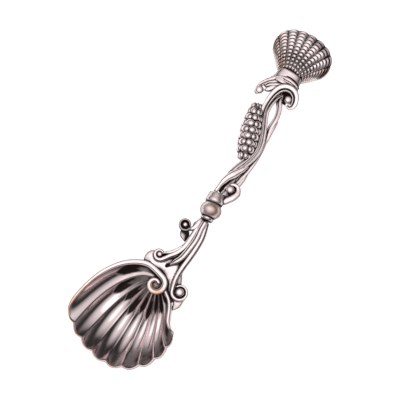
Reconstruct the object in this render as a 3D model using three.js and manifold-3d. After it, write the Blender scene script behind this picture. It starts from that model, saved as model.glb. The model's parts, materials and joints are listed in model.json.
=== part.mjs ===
// Decorative ice cream spoon: a fluted scallop bowl, a scrolled stem with a turned knop,
// a twist of vine strands round a cob of kernels, and a scallop shell finial.
// Millimetres, +Z up. X runs along the handle towards the finial. The origin is the middle of
// the small flat on which the bowl rests.

import * as THREE from 'three';
import { mergeVertices } from 'three/addons/utils/BufferGeometryUtils.js';
import Module from 'manifold-3d';

const wasm = await Module();
wasm.setup();

// Driving dimensions of the bowl, in millimetres and degrees
const RIM_HEIGHT = 7.8;
const RIM_RISE = 0.6;
const BOWL_WALL = 1.1;
const RIM_WALL = 0.8;
const BOWL_FLAT_DEPTH = 0.4;
const HINGE_BACK = 15.4;
const HINGE_SIDE = 1.2;
const HINGE_RADIUS = 1.2;
const REACH_LEFT = 28.5;
const REACH_FRONT = 29.1;
const REACH_RIGHT = 16.5;
const FAN_LEFT = 138;
const FAN_RIGHT = 232;
const FLUTE_COUNT = 9;
const FLUTE_DEPTH = 0.75;
const BACK_FLUTE_DEPTH = 0.3;
const LOBE_BULGE = 0.7;
const LEFT_SWEEP = 53;
const RIGHT_SWEEP = 12;
const RIGHT_EDGE_WAVE = 6;

// Driving dimensions of the rolled edge and the shoulder
const ROLL_BREADTH = 1.3;
const ROLL_DEPTH = 1.5;
const COIL_RADIUS = 2.9;
const COIL_EYE_RADIUS = 1.15;
const COIL_RISE = 0.9;
const SHOULDER_BREADTH = 6.6;
const SHOULDER_DEPTH = 2.0;

// Driving dimensions of the stem and its scrolls
const HINGE_HEIGHT = 8.7;
const STEM_LENGTH = 24.7;
const STEM_SPREAD = 8.0;
const STEM_ARCH = 0.9;
const STEM_REED_BREADTH = 1.3;
const STEM_REED_DEPTH = 2.2;
const STEM_CORE_BREADTH = 1.7;
const STEM_CORE_DEPTH = 3.0;
const LEFT_SCROLL_RADIUS = 2.0;
const RIGHT_SCROLL_RADIUS = 2.4;
const SIDE_SCROLL_RADIUS = 1.85;
const SIDE_LEAF_BREADTH = 2.4;
const SIDE_LEAF_DEPTH = 1.3;

// Driving dimensions of the turned pieces
const KNOP_HEIGHT = 10.1;
const KNOP_TURN = 10;
const KNOP_DIP = 6;
const RING_DIAMETER = 4.2;
const RING_LENGTH = 1.0;
const KNOP_DIAMETER = 6.9;
const KNOP_LENGTH = 4.7;
const COLLAR_DIAMETER = 5.2;
const COLLAR_TOP_DIAMETER = 3.8;
const COLLAR_LENGTH = 3.1;

// Driving dimensions of the vine and the cob
const VINE_LENGTH = 41.4;
const VINE_SPREAD = 8.0;
const LAYER_RISE = 2.0;
const VINE_REED_BREADTH = 1.3;
const VINE_REED_DEPTH = 1.6;
const REAR_VINE_BREADTH = 1.7;
const REAR_VINE_DEPTH = 1.8;
const THIN_REED_BREADTH = 0.9;
const THIN_REED_DEPTH = 1.3;
const LEAF_BREADTH = 2.4;
const LEAF_DEPTH = 1.3;
const COLLAR_SCROLL_BREADTH = 1.9;
const COLLAR_SCROLL_DEPTH = 1.8;
const COB_LENGTH = 18.8;
const COB_DIAMETER = 4.9;
const COB_LEAN = 19.3;
const KERNEL_HEIGHT = 0.75;
const KERNEL_COLUMNS = 8;
const KERNEL_ROWS = 9;
const CREST_BREADTH = 2.2;
const CREST_DEPTH = 1.8;

// Driving dimensions of the neck and the finial
const NECK_HEIGHT = 6.2;
const NECK_LENGTH = 6.2;
const NECK_BREADTH_LOW = 8.2;
const NECK_BREADTH_HIGH = 7.4;
const NECK_DEPTH = 3.2;
const SHELL_LENGTH = 19.5;
const SHELL_ROOT = 5.4;
const SHELL_SIDE = 0.3;
const SHELL_HALF_ANGLE = 46;
const SHELL_CORNER = 5.5;
const SHELL_TURN = 0.5;
const SHELL_FRONT_RISE = 4.6;
const SHELL_BACK_DROP = 3.6;
const SHELL_RIBS = 9;
const SHELL_RIB_HEIGHT = 0.55;
const SHELL_RINGS = 9;
const SHELL_LIP = 0.5;

// Clearance that two neighbouring pieces keep, and the pearls at the ends of the scrolls
const SEAT_GAP = 0.3;
const LEFT_PEARL = 1.8;
const RIGHT_PEARL = 2.3;
const SIDE_PEARL = 1.8;
const COLLAR_PEARL = 2.0;
const ARCH_PEARL = 2.2;
const CREST_PEARL = 2.5;

const UP = new THREE.Vector3(0, 0, 1);
const radians = THREE.MathUtils.degToRad;
const mix = THREE.MathUtils.lerp;

// Places along the handle
const hinge = new THREE.Vector3(HINGE_BACK, HINGE_SIDE, HINGE_HEIGHT);
const stemEnd = new THREE.Vector3(hinge.x + STEM_LENGTH, hinge.y - 0.31 * STEM_SPREAD, KNOP_HEIGHT);
const knopDirection = new THREE.Vector3(1, 0, 0)
  .applyAxisAngle(new THREE.Vector3(0, 1, 0), radians(KNOP_DIP))
  .applyAxisAngle(UP, radians(KNOP_TURN));
const knopStart = RING_LENGTH + SEAT_GAP;
const collarStart = knopStart + KNOP_LENGTH + SEAT_GAP;
const collarEnd = stemEnd.clone().addScaledVector(knopDirection, collarStart + COLLAR_LENGTH);
const neckStart = new THREE.Vector3(collarEnd.x + VINE_LENGTH, collarEnd.y + VINE_SPREAD / 5, NECK_HEIGHT);
const vineStart = SEAT_GAP / VINE_LENGTH;

// A place on the stem: share of its length from the hinge, shares of its spread to the left, and
// shares of a reed's depth above the stem's arched middle line.
function onStem(along, aside, above = 0) {
  const arch = 4 * STEM_ARCH * along * (1 - along);
  const height = mix(HINGE_HEIGHT, KNOP_HEIGHT, along) + arch + above * STEM_REED_DEPTH;
  return new THREE.Vector3(hinge.x + along * STEM_LENGTH, hinge.y + aside * STEM_SPREAD, height);
}

// A place on the vine: share of its length from the collar, shares of its spread to the left, and
// shares of a layer above the vine's middle line.
function onVine(along, aside, above = 0) {
  const height = mix(collarEnd.z, NECK_HEIGHT, along) + above * LAYER_RISE;
  return new THREE.Vector3(collarEnd.x + along * VINE_LENGTH, collarEnd.y + aside * VINE_SPREAD, height);
}

// The value at place t, from 0 to 1, in a list of evenly spaced values.
function valueAt(values, t) {
  const place = t * (values.length - 1);
  const index = Math.min(Math.floor(place), values.length - 2);
  return mix(values[index], values[index + 1], THREE.MathUtils.smoothstep(place - index, 0, 1));
}

// Points of a flat spiral that winds from one radius to another round a centre.
function spiral(centre, startRadius, endRadius, startAngle, turn, count) {
  return Array.from({ length: count }, (_, index) => {
    const share = index / (count - 1);
    const angle = radians(startAngle + turn * share);
    const radius = mix(startRadius, endRadius, share);
    const offset = new THREE.Vector3(Math.cos(angle) * radius, Math.sin(angle) * radius, 0);
    return centre.clone().add(offset);
  });
}

// Radius at which the end of a reed lies against the pearl that it curls round.
function scrollEnd(pearlDiameter, endBreadth) {
  return pearlDiameter / 2 + SEAT_GAP + endBreadth / 2;
}

// A closed geometry from its corners and triangles, turned so that its faces point outwards.
function closedGeometry(corners, triangles) {
  const volume = triangles.reduce((sum, [a, b, c]) => {
    const cross = new THREE.Vector3().crossVectors(corners[b], corners[c]);
    return sum + corners[a].dot(cross);
  }, 0);
  const facing = volume < 0 ? triangles.map(([a, b, c]) => [a, c, b]) : triangles;
  const geometry = new THREE.BufferGeometry();
  geometry.setFromPoints(corners);
  geometry.setIndex(facing.flat());
  return geometry;
}

// A strand: rounded sections along a curve, each across the strand and above it, closed at the ends.
// Its relief swells or narrows the section at a place along the strand and an angle round it.
function sweep(strand, grow = 0) {
  const curve = new THREE.CatmullRomCurve3(strand.path, false, 'centripetal');
  const { steps, sides = 6, relief = () => 1 } = strand;
  const corners = [];
  const triangles = [];
  for (let step = 0; step <= steps; step += 1) {
    const t = step / steps;
    const point = curve.getPointAt(t);
    const tangent = curve.getTangentAt(t);
    if (step === 0) point.addScaledVector(tangent, -grow);
    if (step === steps) point.addScaledVector(tangent, grow);
    const side = new THREE.Vector3().crossVectors(UP, tangent).normalize();
    const lift = new THREE.Vector3().crossVectors(tangent, side);
    const taper = valueAt(strand.taper, t);
    for (let index = 0; index < sides; index += 1) {
      const angle = 2 * Math.PI * index / sides;
      const swell = relief(t, angle);
      const halfBreadth = strand.breadth / 2 * taper * swell + grow;
      const halfDepth = strand.depth / 2 * Math.sqrt(taper) * swell + grow;
      corners.push(point.clone()
        .addScaledVector(side, Math.cos(angle) * halfBreadth)
        .addScaledVector(lift, Math.sin(angle) * halfDepth));
    }
  }
  for (let step = 0; step < steps; step += 1) {
    for (let index = 0; index < sides; index += 1) {
      const here = step * sides + index;
      const next = step * sides + (index + 1) % sides;
      triangles.push([here, next, next + sides], [here, next + sides, here + sides]);
    }
  }
  const first = corners.length;
  corners.push(strand.path[0].clone().addScaledVector(curve.getTangentAt(0), -grow));
  corners.push(strand.path.at(-1).clone().addScaledVector(curve.getTangentAt(1), grow));
  for (let index = 0; index < sides; index += 1) {
    const next = (index + 1) % sides;
    triangles.push([first, next, index]);
    triangles.push([first + 1, steps * sides + index, steps * sides + next]);
  }
  return closedGeometry(corners, triangles);
}

// A pearl at the end of a scroll.
function pearl(centre, diameter, grow = 0) {
  const geometry = new THREE.SphereGeometry(diameter / 2 + grow, 10, 6);
  geometry.translate(centre.x, centre.y, centre.z);
  return geometry;
}

// A solid from a closed geometry, and back.
function solid(geometry) {
  const bare = geometry.clone();
  bare.deleteAttribute('normal');
  bare.deleteAttribute('uv');
  const merged = mergeVertices(bare, 1e-5);
  return new wasm.Manifold(new wasm.Mesh({
    numProp: 3,
    vertProperties: new Float32Array(merged.attributes.position.array),
    triVerts: new Uint32Array(merged.index.array),
  }));
}

function geometryOf(body) {
  const mesh = body.getMesh();
  const geometry = new THREE.BufferGeometry();
  geometry.setAttribute('position', new THREE.BufferAttribute(new Float32Array(mesh.vertProperties), 3));
  geometry.setIndex(Array.from(mesh.triVerts));
  geometry.computeVertexNormals();
  return geometry;
}

// One body from strands that run into each other.
function joined(strands) {
  return geometryOf(wasm.Manifold.union(strands.map((strand) => solid(sweep(strand)))));
}

// A piece with the room of its neighbours cut out of it.
function carve(geometry, neighbours) {
  const body = neighbours.reduce((left, other) => left.subtract(solid(other)), solid(geometry));
  return geometryOf(body);
}

// The bowl: how deep a flute is at a share of the way round the fan, how far the rim reaches there,
// and a place on the inner face at a share of the way out from the hinge.
const FAN_FRONT = 0.42;
const FAN_DEEPEST = 0.53;
const RIM_POWER = 1.7;
const LENGTH_POWER = 2.4;
const SIDE_POWER = 3.2;

function flute(across) {
  return Math.abs(Math.sin(Math.PI * FLUTE_COUNT * across));
}

function rimReach(across) {
  const left = across < FAN_FRONT;
  const share = left ? (FAN_FRONT - across) / FAN_FRONT : (across - FAN_FRONT) / (1 - FAN_FRONT);
  const drop = REACH_FRONT - (left ? REACH_LEFT : REACH_RIGHT);
  return REACH_FRONT - drop * share ** RIM_POWER;
}

// Share of the full depth at a place, from 0 at the rim to 1 where the bowl is deepest.
function bowlDip(across, out) {
  const middle = out ** (Math.log(0.5) / Math.log(FAN_DEEPEST));
  const lengthDip = 1 - Math.abs(2 * middle - 1) ** LENGTH_POWER;
  const sideDip = 1 - Math.abs(2 * across - 1) ** SIDE_POWER;
  return sideDip * lengthDip;
}

// The wall's thickness at a place, thinner towards the rim.
function bowlThickness(across, out) {
  return mix(RIM_WALL, BOWL_WALL + BOWL_FLAT_DEPTH, bowlDip(across, out));
}

function bowlInner(across, out, fluted = true) {
  const reach = rimReach(across);
  const lobe = fluted ? LOBE_BULGE * flute(across) * out ** 4 : 0;
  const radius = HINGE_RADIUS + (reach + lobe - HINGE_RADIUS) * out;
  const sweepRate = RIGHT_SWEEP * across ** 3 - LEFT_SWEEP * (1 - across) ** 4;
  const wave = RIGHT_EDGE_WAVE * across ** 6 * Math.sin(2 * Math.PI * out);
  const angle = radians(mix(FAN_LEFT, FAN_RIGHT, across) + sweepRate * Math.log(reach / radius) + wave);
  const x = hinge.x + Math.cos(angle) * radius;
  const y = hinge.y + Math.sin(angle) * radius;
  const rim = RIM_HEIGHT + RIM_RISE * x / HINGE_BACK;
  return new THREE.Vector3(x, y, mix(rim, BOWL_WALL, bowlDip(across, out)));
}

function bowlNormal(across, out) {
  const small = 0.01;
  const low = Math.max(out - small, 0);
  const high = Math.min(out + small, 1);
  const left = Math.max(across - small, 0);
  const right = Math.min(across + small, 1);
  const along = bowlInner(across, high, false).sub(bowlInner(across, low, false));
  const round = bowlInner(right, out, false).sub(bowlInner(left, out, false));
  return new THREE.Vector3().crossVectors(along, round).normalize();
}

function bowlFace(across, out, fluteDepth, offset) {
  const ridge = fluteDepth * (1 - flute(across)) * Math.min(1, 4 * out);
  return bowlInner(across, out).addScaledVector(bowlNormal(across, out), ridge - offset);
}

// A closed wall between two faces that share their grid of places.
function wallBetween(columns, rows, upper, lower) {
  const corners = [];
  for (const face of [upper, lower]) {
    for (let column = 0; column <= columns; column += 1) {
      for (let row = 0; row <= rows; row += 1) corners.push(face(column / columns, row / rows));
    }
  }
  const sheet = (columns + 1) * (rows + 1);
  const at = (column, row, layer) => layer * sheet + column * (rows + 1) + row;
  const triangles = [];
  const quad = (a, b, c, d) => triangles.push([a, b, c], [a, c, d]);
  for (let column = 0; column < columns; column += 1) {
    for (let row = 0; row < rows; row += 1) {
      quad(at(column, row, 0), at(column, row + 1, 0), at(column + 1, row + 1, 0), at(column + 1, row, 0));
      quad(at(column, row, 1), at(column + 1, row, 1), at(column + 1, row + 1, 1), at(column, row + 1, 1));
    }
  }
  for (let column = 0; column < columns; column += 1) {
    quad(at(column, 0, 0), at(column + 1, 0, 0), at(column + 1, 0, 1), at(column, 0, 1));
    quad(at(column, rows, 0), at(column, rows, 1), at(column + 1, rows, 1), at(column + 1, rows, 0));
  }
  for (let row = 0; row < rows; row += 1) {
    quad(at(0, row, 0), at(0, row, 1), at(0, row + 1, 1), at(0, row + 1, 0));
    quad(at(columns, row, 0), at(columns, row + 1, 0), at(columns, row + 1, 1), at(columns, row, 1));
  }
  return closedGeometry(corners, triangles);
}

const BOWL_COLUMNS = FLUTE_COUNT * 4;
const BOWL_ROWS = 11;

function bowlWall() {
  const inner = (across, out) => bowlFace(across, out, FLUTE_DEPTH, 0);
  const outer = (across, out) => {
    const point = bowlFace(across, out, BACK_FLUTE_DEPTH, bowlThickness(across, out));
    return point.setZ(Math.max(point.z, 0));
  };
  return wallBetween(BOWL_COLUMNS, BOWL_ROWS, inner, outer);
}

// The bowl's wall and everything inside and above it, which its neighbours keep out of.
function bowlRoom() {
  const lid = 2 * RIM_HEIGHT;
  const outer = (across, out) => {
    return bowlFace(across, out, BACK_FLUTE_DEPTH, bowlThickness(across, out) + SEAT_GAP);
  };
  const upper = (across, out) => outer(across, out).setZ(lid);
  return wallBetween(2 * FLUTE_COUNT, BOWL_ROWS, upper, outer);
}

// The rolled left edge of the bowl, which rises on to the hinge and ends in a coil
const COIL_POINTS = 18;
const COIL_START = -5;
const COIL_TURN = -460;
const rollEdge = [1, 0.8, 0.6, 0.42, 0.28, 0.18].map((out) => {
  const point = bowlInner(0, out, false);
  return point.setZ(point.z + ROLL_DEPTH / 3);
});
const rollCoil = spiral(hinge, COIL_RADIUS, COIL_EYE_RADIUS, COIL_START, COIL_TURN, COIL_POINTS);
rollCoil.forEach((point, index) => {
  point.z = HINGE_HEIGHT + COIL_RISE * Math.min(1, 2 * index / COIL_POINTS);
});

const roll = {
  path: [...rollEdge, ...rollCoil],
  breadth: ROLL_BREADTH,
  depth: ROLL_DEPTH,
  taper: [0.5, 0.8, 0.85, 0.9, 0.9, 1.2, 1.4, 0.8, 0.5],
  steps: 40,
};

// The shoulder that hugs the bowl's back and carries the stem
const shoulder = {
  path: [onStem(0.145, 0.89, -0.5), onStem(0.215, 0.75, -0.5), onStem(0.293, 0.44, -0.5),
    onStem(0.277, -0.06, -0.5), onStem(0.17, -0.49, -0.5), onStem(0.066, -0.72, -0.5),
    onStem(0.01, -1.02, -0.5), onStem(-0.107, -1.12, -0.4), onStem(-0.189, -1.05, -0.3)],
  breadth: SHOULDER_BREADTH,
  depth: SHOULDER_DEPTH,
  taper: [0.15, 0.6, 0.95, 0.9, 0.75, 0.65, 0.8, 0.45, 0.15],
  steps: 18,
};

// The three reeds of the stem, with a scroll at the foot of the left and of the right one
const REED_END = 0.4;
const reedEndBreadth = STEM_REED_BREADTH * REED_END;
const leftEye = onStem(0.318, 0.5);
const rightEye = onStem(0.047, -0.973);
const sideEye = onStem(0.812, 0.29);

const stemCore = {
  path: [onStem(0.265, -0.02), onStem(0.34, -0.17), onStem(0.425, -0.3), onStem(0.585, -0.37),
    onStem(0.73, -0.385), onStem(0.88, -0.32), stemEnd.clone().addScaledVector(knopDirection, -SEAT_GAP)],
  breadth: STEM_CORE_BREADTH,
  depth: STEM_CORE_DEPTH,
  taper: [0.3, 0.85, 1, 1, 1, 0.9, 0.95],
  steps: 20,
};

const leftReed = {
  path: [onStem(0.96, -0.17), onStem(0.86, -0.19), onStem(0.727, -0.2), onStem(0.573, -0.18),
    onStem(0.456, -0.06), onStem(0.375, 0.12),
    ...spiral(leftEye, LEFT_SCROLL_RADIUS, scrollEnd(LEFT_PEARL, reedEndBreadth), 250, -270, 9)],
  breadth: STEM_REED_BREADTH,
  depth: STEM_REED_DEPTH,
  taper: [0.35, 0.8, 1, 1, 0.8, 0.6, REED_END],
  steps: 28,
};

const rightReed = {
  path: [onStem(0.965, -0.38), onStem(0.9, -0.46), onStem(0.764, -0.56), onStem(0.594, -0.585),
    onStem(0.446, -0.565), onStem(0.297, -0.54), onStem(0.17, -0.56),
    ...spiral(rightEye, RIGHT_SCROLL_RADIUS, scrollEnd(RIGHT_PEARL, reedEndBreadth), 95, 320, 12)],
  breadth: STEM_REED_BREADTH,
  depth: STEM_REED_DEPTH,
  taper: [0.35, 0.8, 1, 1, 0.9, 0.8, 0.7, REED_END],
  steps: 32,
};

const sideScroll = {
  path: [onStem(0.97, -0.13), onStem(0.94, -0.08), onStem(0.89, 0.0),
    ...spiral(sideEye, SIDE_SCROLL_RADIUS, scrollEnd(SIDE_PEARL, reedEndBreadth), -60, -310, 10)],
  breadth: STEM_REED_BREADTH,
  depth: STEM_REED_DEPTH,
  taper: [0.4, 0.8, 0.9, 0.8, 0.6, REED_END],
  steps: 22,
};

const sideLeaf = {
  path: [onStem(0.775, 0.2, -0.4), onStem(0.7, 0.15, -0.5), onStem(0.62, 0.0, -0.5)],
  breadth: SIDE_LEAF_BREADTH,
  depth: SIDE_LEAF_DEPTH,
  taper: [0.9, 1, 0.3],
  steps: 9,
};

// The turned ring, knop and collar, each a profile of places along the axis and radii
function turned(profile, start, grow = 0) {
  const length = profile.at(-1)[0];
  const outline = profile.map(([along, radius]) => {
    const end = along === 0 ? -grow : along === length ? grow : 0;
    return new THREE.Vector2(radius > 0 ? radius + grow : 0, along + end);
  });
  const geometry = new THREE.LatheGeometry(outline, 20);
  const turn = new THREE.Quaternion().setFromUnitVectors(new THREE.Vector3(0, 1, 0), knopDirection);
  const place = stemEnd.clone().addScaledVector(knopDirection, start);
  return geometry.applyQuaternion(turn).translate(place.x, place.y, place.z);
}

function roundProfile(length, endRadius, midRadius, count) {
  const middle = Array.from({ length: count + 1 }, (_, index) => {
    const share = index / count;
    return [length * share, endRadius + (midRadius - endRadius) * Math.sin(Math.PI * share) ** 0.7];
  });
  return [[0, 0], ...middle, [length, 0]];
}

const ringProfile = roundProfile(RING_LENGTH, RING_DIAMETER * 0.4, RING_DIAMETER / 2, 4);
const knopProfile = roundProfile(KNOP_LENGTH, RING_DIAMETER / 2, KNOP_DIAMETER / 2, 8);
const collarProfile = [[0, 0], [0, COLLAR_DIAMETER / 2], [COLLAR_LENGTH * 0.3, COLLAR_DIAMETER / 2],
  [COLLAR_LENGTH, COLLAR_TOP_DIAMETER / 2], [COLLAR_LENGTH, 0]];

// The scroll that springs from the collar's right side
const collarEye = onVine(0.077, -0.33, 0.5);
const collarScroll = {
  path: [onVine(-0.045, -0.36, 0.2), onVine(-0.005, -0.47, 0.4), onVine(0.035, -0.61, 0.5),
    onVine(0.085, -0.67, 0.5), onVine(0.124, -0.53, 0.5), onVine(0.126, -0.34, 0.5),
    onVine(0.106, -0.19, 0.5)],
  breadth: COLLAR_SCROLL_BREADTH,
  depth: COLLAR_SCROLL_DEPTH,
  taper: [0.8, 1, 1, 0.95, 0.75, 0.55, 0.3],
  steps: 20,
};

// The strands of the vine: an upper layer of a leaf and two reeds, and a lower layer behind them
const leafRibbon = {
  path: [onVine(vineStart, 0.125, 0.2), onVine(0.068, 0.12, 0.35), onVine(0.138, 0.04, 0.45),
    onVine(0.2, -0.12, 0.45), onVine(0.256, -0.28, 0.45), onVine(0.312, -0.42, 0.4)],
  breadth: LEAF_BREADTH,
  depth: LEAF_DEPTH,
  taper: [0.4, 0.5, 0.8, 1, 0.7, 0.3],
  steps: 18,
};

const archEye = onVine(0.919, -0.29, 0.5);
const outerVine = {
  path: [onVine(0.176, 0.11, 0.35), onVine(0.249, -0.02, 0.4), onVine(0.316, -0.14, 0.4),
    onVine(0.386, -0.24, 0.4), onVine(0.44, -0.27, 0.4), onVine(0.517, -0.19, 0.35),
    onVine(0.626, 0.04, 0.3), onVine(0.71, 0.26, 0.25), onVine(0.767, 0.345, 0.3),
    onVine(0.831, 0.37, 0.4), onVine(0.905, 0.345, 0.5), onVine(0.968, 0.235, 0.6),
    onVine(1.005, 0.02, 0.7), onVine(1.01, -0.25, 0.7), onVine(0.983, -0.5, 0.6),
    onVine(0.935, -0.63, 0.5), onVine(0.887, -0.61, 0.5), onVine(0.868, -0.48, 0.5),
    onVine(0.878, -0.36, 0.5)],
  breadth: VINE_REED_BREADTH,
  depth: VINE_REED_DEPTH,
  taper: [0.4, 0.8, 0.9, 0.9, 0.8, 0.8, 1, 1.1, 1.3, 1.5, 1.7, 1.4, 0.5],
  steps: 42,
};

const innerVine = {
  path: [onVine(0.232, -0.19, 0.35), onVine(0.304, -0.31, 0.35), onVine(0.377, -0.41, 0.35),
    onVine(0.444, -0.44, 0.35), onVine(0.522, -0.36, 0.3), onVine(0.628, -0.13, 0.25),
    onVine(0.71, 0.085, 0.2), onVine(0.752, 0.17, 0.2), onVine(0.8225, 0.2, 0.2),
    onVine(0.89, 0.14, 0.2), onVine(0.935, -0.01, 0.2)],
  breadth: VINE_REED_BREADTH,
  depth: VINE_REED_DEPTH,
  taper: [0.35, 0.75, 0.8, 0.8, 0.8, 0.8, 0.9, 0.8, 0.3],
  steps: 30,
};

const rearVine = {
  path: [onVine(vineStart, -0.12, -0.4), onVine(0.075, -0.24, -0.5), onVine(0.147, -0.37, -0.55),
    onVine(0.232, -0.43, -0.55), onVine(0.307, -0.47, -0.55), onVine(0.391, -0.48, -0.5),
    onVine(0.478, -0.455, -0.5), onVine(0.553, -0.39, -0.45), onVine(0.668, -0.3, -0.35),
    onVine(0.751, -0.285, -0.3), onVine(0.831, -0.165, -0.45), onVine(0.889, 0.03, -0.6),
    onVine(0.95, 0.1, -0.65)],
  breadth: REAR_VINE_BREADTH,
  depth: REAR_VINE_DEPTH,
  taper: [0.7, 1, 1, 1, 1, 0.9, 0.85, 0.85, 0.9, 0.8],
  steps: 36,
};

const thinReeds = {
  rear_reed_left: [onVine(0.06, -0.1, -0.25), onVine(0.12, -0.2, -0.25), onVine(0.2, -0.24, -0.3)],
  rear_reed_right: [onVine(0.09, -0.44, -0.3), onVine(0.16, -0.51, -0.35), onVine(0.26, -0.56, -0.45)],
  eye_reed: [onVine(0.52, -0.5, -0.35), onVine(0.62, -0.42, -0.3), onVine(0.74, -0.4, -0.3)],
};

function thinReed(path) {
  return { path, breadth: THIN_REED_BREADTH, depth: THIN_REED_DEPTH, taper: [0.4, 1, 1, 0.4], steps: 10 };
}

// The cob: a swelling core whose kernels stand in rows, every second row set half a step round
const cobBase = onVine(0.34, -0.1);
const cobRun = COB_LENGTH * Math.cos(radians(COB_LEAN));
const cobTip = cobBase.clone().add(new THREE.Vector3(
  cobRun, COB_LENGTH * Math.sin(radians(COB_LEAN)), (NECK_HEIGHT - collarEnd.z) * cobRun / VINE_LENGTH));

function kernelRelief(t, angle) {
  const row = Math.min(Math.floor(t * KERNEL_ROWS), KERNEL_ROWS - 1);
  const column = KERNEL_COLUMNS * angle / (2 * Math.PI) + (row % 2) / 2;
  const bump = Math.abs(Math.sin(Math.PI * KERNEL_ROWS * t) * Math.sin(Math.PI * column));
  return 1 + 2 * KERNEL_HEIGHT / COB_DIAMETER * Math.sqrt(bump);
}

const cob = {
  path: [cobBase, cobBase.clone().lerp(cobTip, 0.5), cobTip],
  breadth: COB_DIAMETER,
  depth: COB_DIAMETER,
  taper: [0.6, 0.95, 1, 0.98, 0.8, 0.35],
  relief: kernelRelief,
  steps: KERNEL_ROWS * 3,
  sides: KERNEL_COLUMNS * 3,
};

// The crest leaf beside the arch: an upper lobe that curls round its pearl, and two lobes under it
const crestEye = onVine(0.868, 0.906, 0.2);
const crestLobes = [
  {
    path: [onVine(1.03, 0.36, 0.2), onVine(1.005, 0.57, 0.25), onVine(0.965, 0.8, 0.25),
      onVine(0.915, 1.0, 0.2), onVine(0.866, 1.09, 0.2), onVine(0.824, 1.0, 0.2)],
    taper: [0.9, 1.1, 1, 0.8, 0.6, 0.4],
    steps: 12,
  },
  {
    path: [onVine(0.99, 0.36, 0.15), onVine(0.967, 0.56, 0.2), onVine(0.938, 0.78, 0.2)],
    taper: [0.9, 1, 0.7],
    steps: 6,
  },
  {
    path: [onVine(0.962, 0.42, 0.1), onVine(0.94, 0.54, 0.15), onVine(0.91, 0.7, 0.15)],
    taper: [0.9, 1, 0.5],
    steps: 6,
  },
].map((lobe) => ({ ...lobe, breadth: CREST_BREADTH, depth: CREST_DEPTH }));

// The neck, a flat bell between the arch and the shell
const neckFoot = neckStart.clone().sub(new THREE.Vector3(NECK_LENGTH / 10, 0, 0));
const neckTop = neckFoot.clone().add(new THREE.Vector3(NECK_LENGTH, 0, 0));
const neck = {
  path: [neckFoot, neckFoot.clone().lerp(neckTop, 0.5), neckTop],
  breadth: NECK_BREADTH_LOW,
  depth: NECK_DEPTH,
  taper: [1, 0.86, NECK_BREADTH_HIGH / NECK_BREADTH_LOW],
  sides: 14,
  steps: 6,
};

// The scallop finial: two domed valves with ribs, the front one with growth rings
const SHELL_COLUMNS = SHELL_RIBS * 3;
const SHELL_ROWS = SHELL_RINGS * 2;
const BACK_ROWS = 6;
const shellCentre = new THREE.Vector3(
  neckTop.x - SEAT_GAP - SHELL_ROOT, neckTop.y + SHELL_SIDE, SHELL_BACK_DROP);

function shellFace(across, out, rise, ringed) {
  const u = 2 * across - 1;
  const angle = radians(SHELL_TURN - SHELL_HALF_ANGLE * u);
  const reach = SHELL_LENGTH - SHELL_CORNER * u ** 4;
  const radius = mix(SHELL_ROOT, reach, out);
  const dome = (1 - 0.9 * u * u) ** 0.6 * Math.sin(Math.PI * mix(0.18, 1, out)) ** 0.8;
  const rib = Math.abs(Math.sin(Math.PI * SHELL_RIBS * across));
  const ring = ringed ? 0.6 + 0.4 * Math.abs(Math.sin(Math.PI * SHELL_RINGS * out)) : 1;
  const relief = SHELL_RIB_HEIGHT * rib * ring * Math.min(1, 3 * out);
  const height = SEAT_GAP / 2 + SHELL_LIP + Math.abs(rise) * dome + relief;
  const x = shellCentre.x + Math.cos(angle) * radius;
  const y = shellCentre.y + Math.sin(angle) * radius;
  return new THREE.Vector3(x, y, Math.max(shellCentre.z + height * Math.sign(rise), 0));
}

// A closed solid over a flat floor: a domed face on a grid, side walls, and a fan on the floor.
function domeOver(columns, rows, face, floor) {
  const corners = [];
  const triangles = [];
  for (let column = 0; column <= columns; column += 1) {
    for (let row = 0; row <= rows; row += 1) corners.push(face(column / columns, row / rows));
  }
  const at = (column, row) => column * (rows + 1) + row;
  for (let column = 0; column < columns; column += 1) {
    for (let row = 0; row < rows; row += 1) {
      triangles.push([at(column, row), at(column, row + 1), at(column + 1, row + 1)]);
      triangles.push([at(column, row), at(column + 1, row + 1), at(column + 1, row)]);
    }
  }
  const border = [];
  for (let row = 0; row < rows; row += 1) border.push(at(0, row));
  for (let column = 0; column < columns; column += 1) border.push(at(column, rows));
  for (let row = rows; row > 0; row -= 1) border.push(at(columns, row));
  for (let column = columns; column > 0; column -= 1) border.push(at(column, 0));
  const foot = corners.length;
  for (const corner of border) corners.push(corners[corner].clone().setZ(floor));
  const middle = corners.length;
  corners.push(face(0.5, 0.5).setZ(floor));
  for (let index = 0; index < border.length; index += 1) {
    const next = (index + 1) % border.length;
    triangles.push([border[index], foot + next, border[next]], [border[index], foot + index, foot + next]);
    triangles.push([middle, foot + next, foot + index]);
  }
  return closedGeometry(corners, triangles);
}

function shellValve(rise, ringed, rows) {
  const face = (across, out) => shellFace(across, out, rise, ringed);
  const floor = shellCentre.z + SEAT_GAP / 2 * Math.sign(rise);
  return domeOver(SHELL_COLUMNS, rows, face, floor);
}

// Finishes: bright worn casting metal, and the copper that shows on the raised parts
const finishes = {
  antique_silver: { color: 0xb9aeb0, roughness: 0.32, metalness: 1 },
  rubbed_copper: { color: 0xc9957f, roughness: 0.3, metalness: 1 },
};

const spoon = new THREE.Group();

function place(name, geometry, finish = 'antique_silver') {
  const mesh = new THREE.Mesh(geometry, new THREE.MeshStandardMaterial(finishes[finish]));
  mesh.name = name;
  spoon.add(mesh);
}

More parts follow.
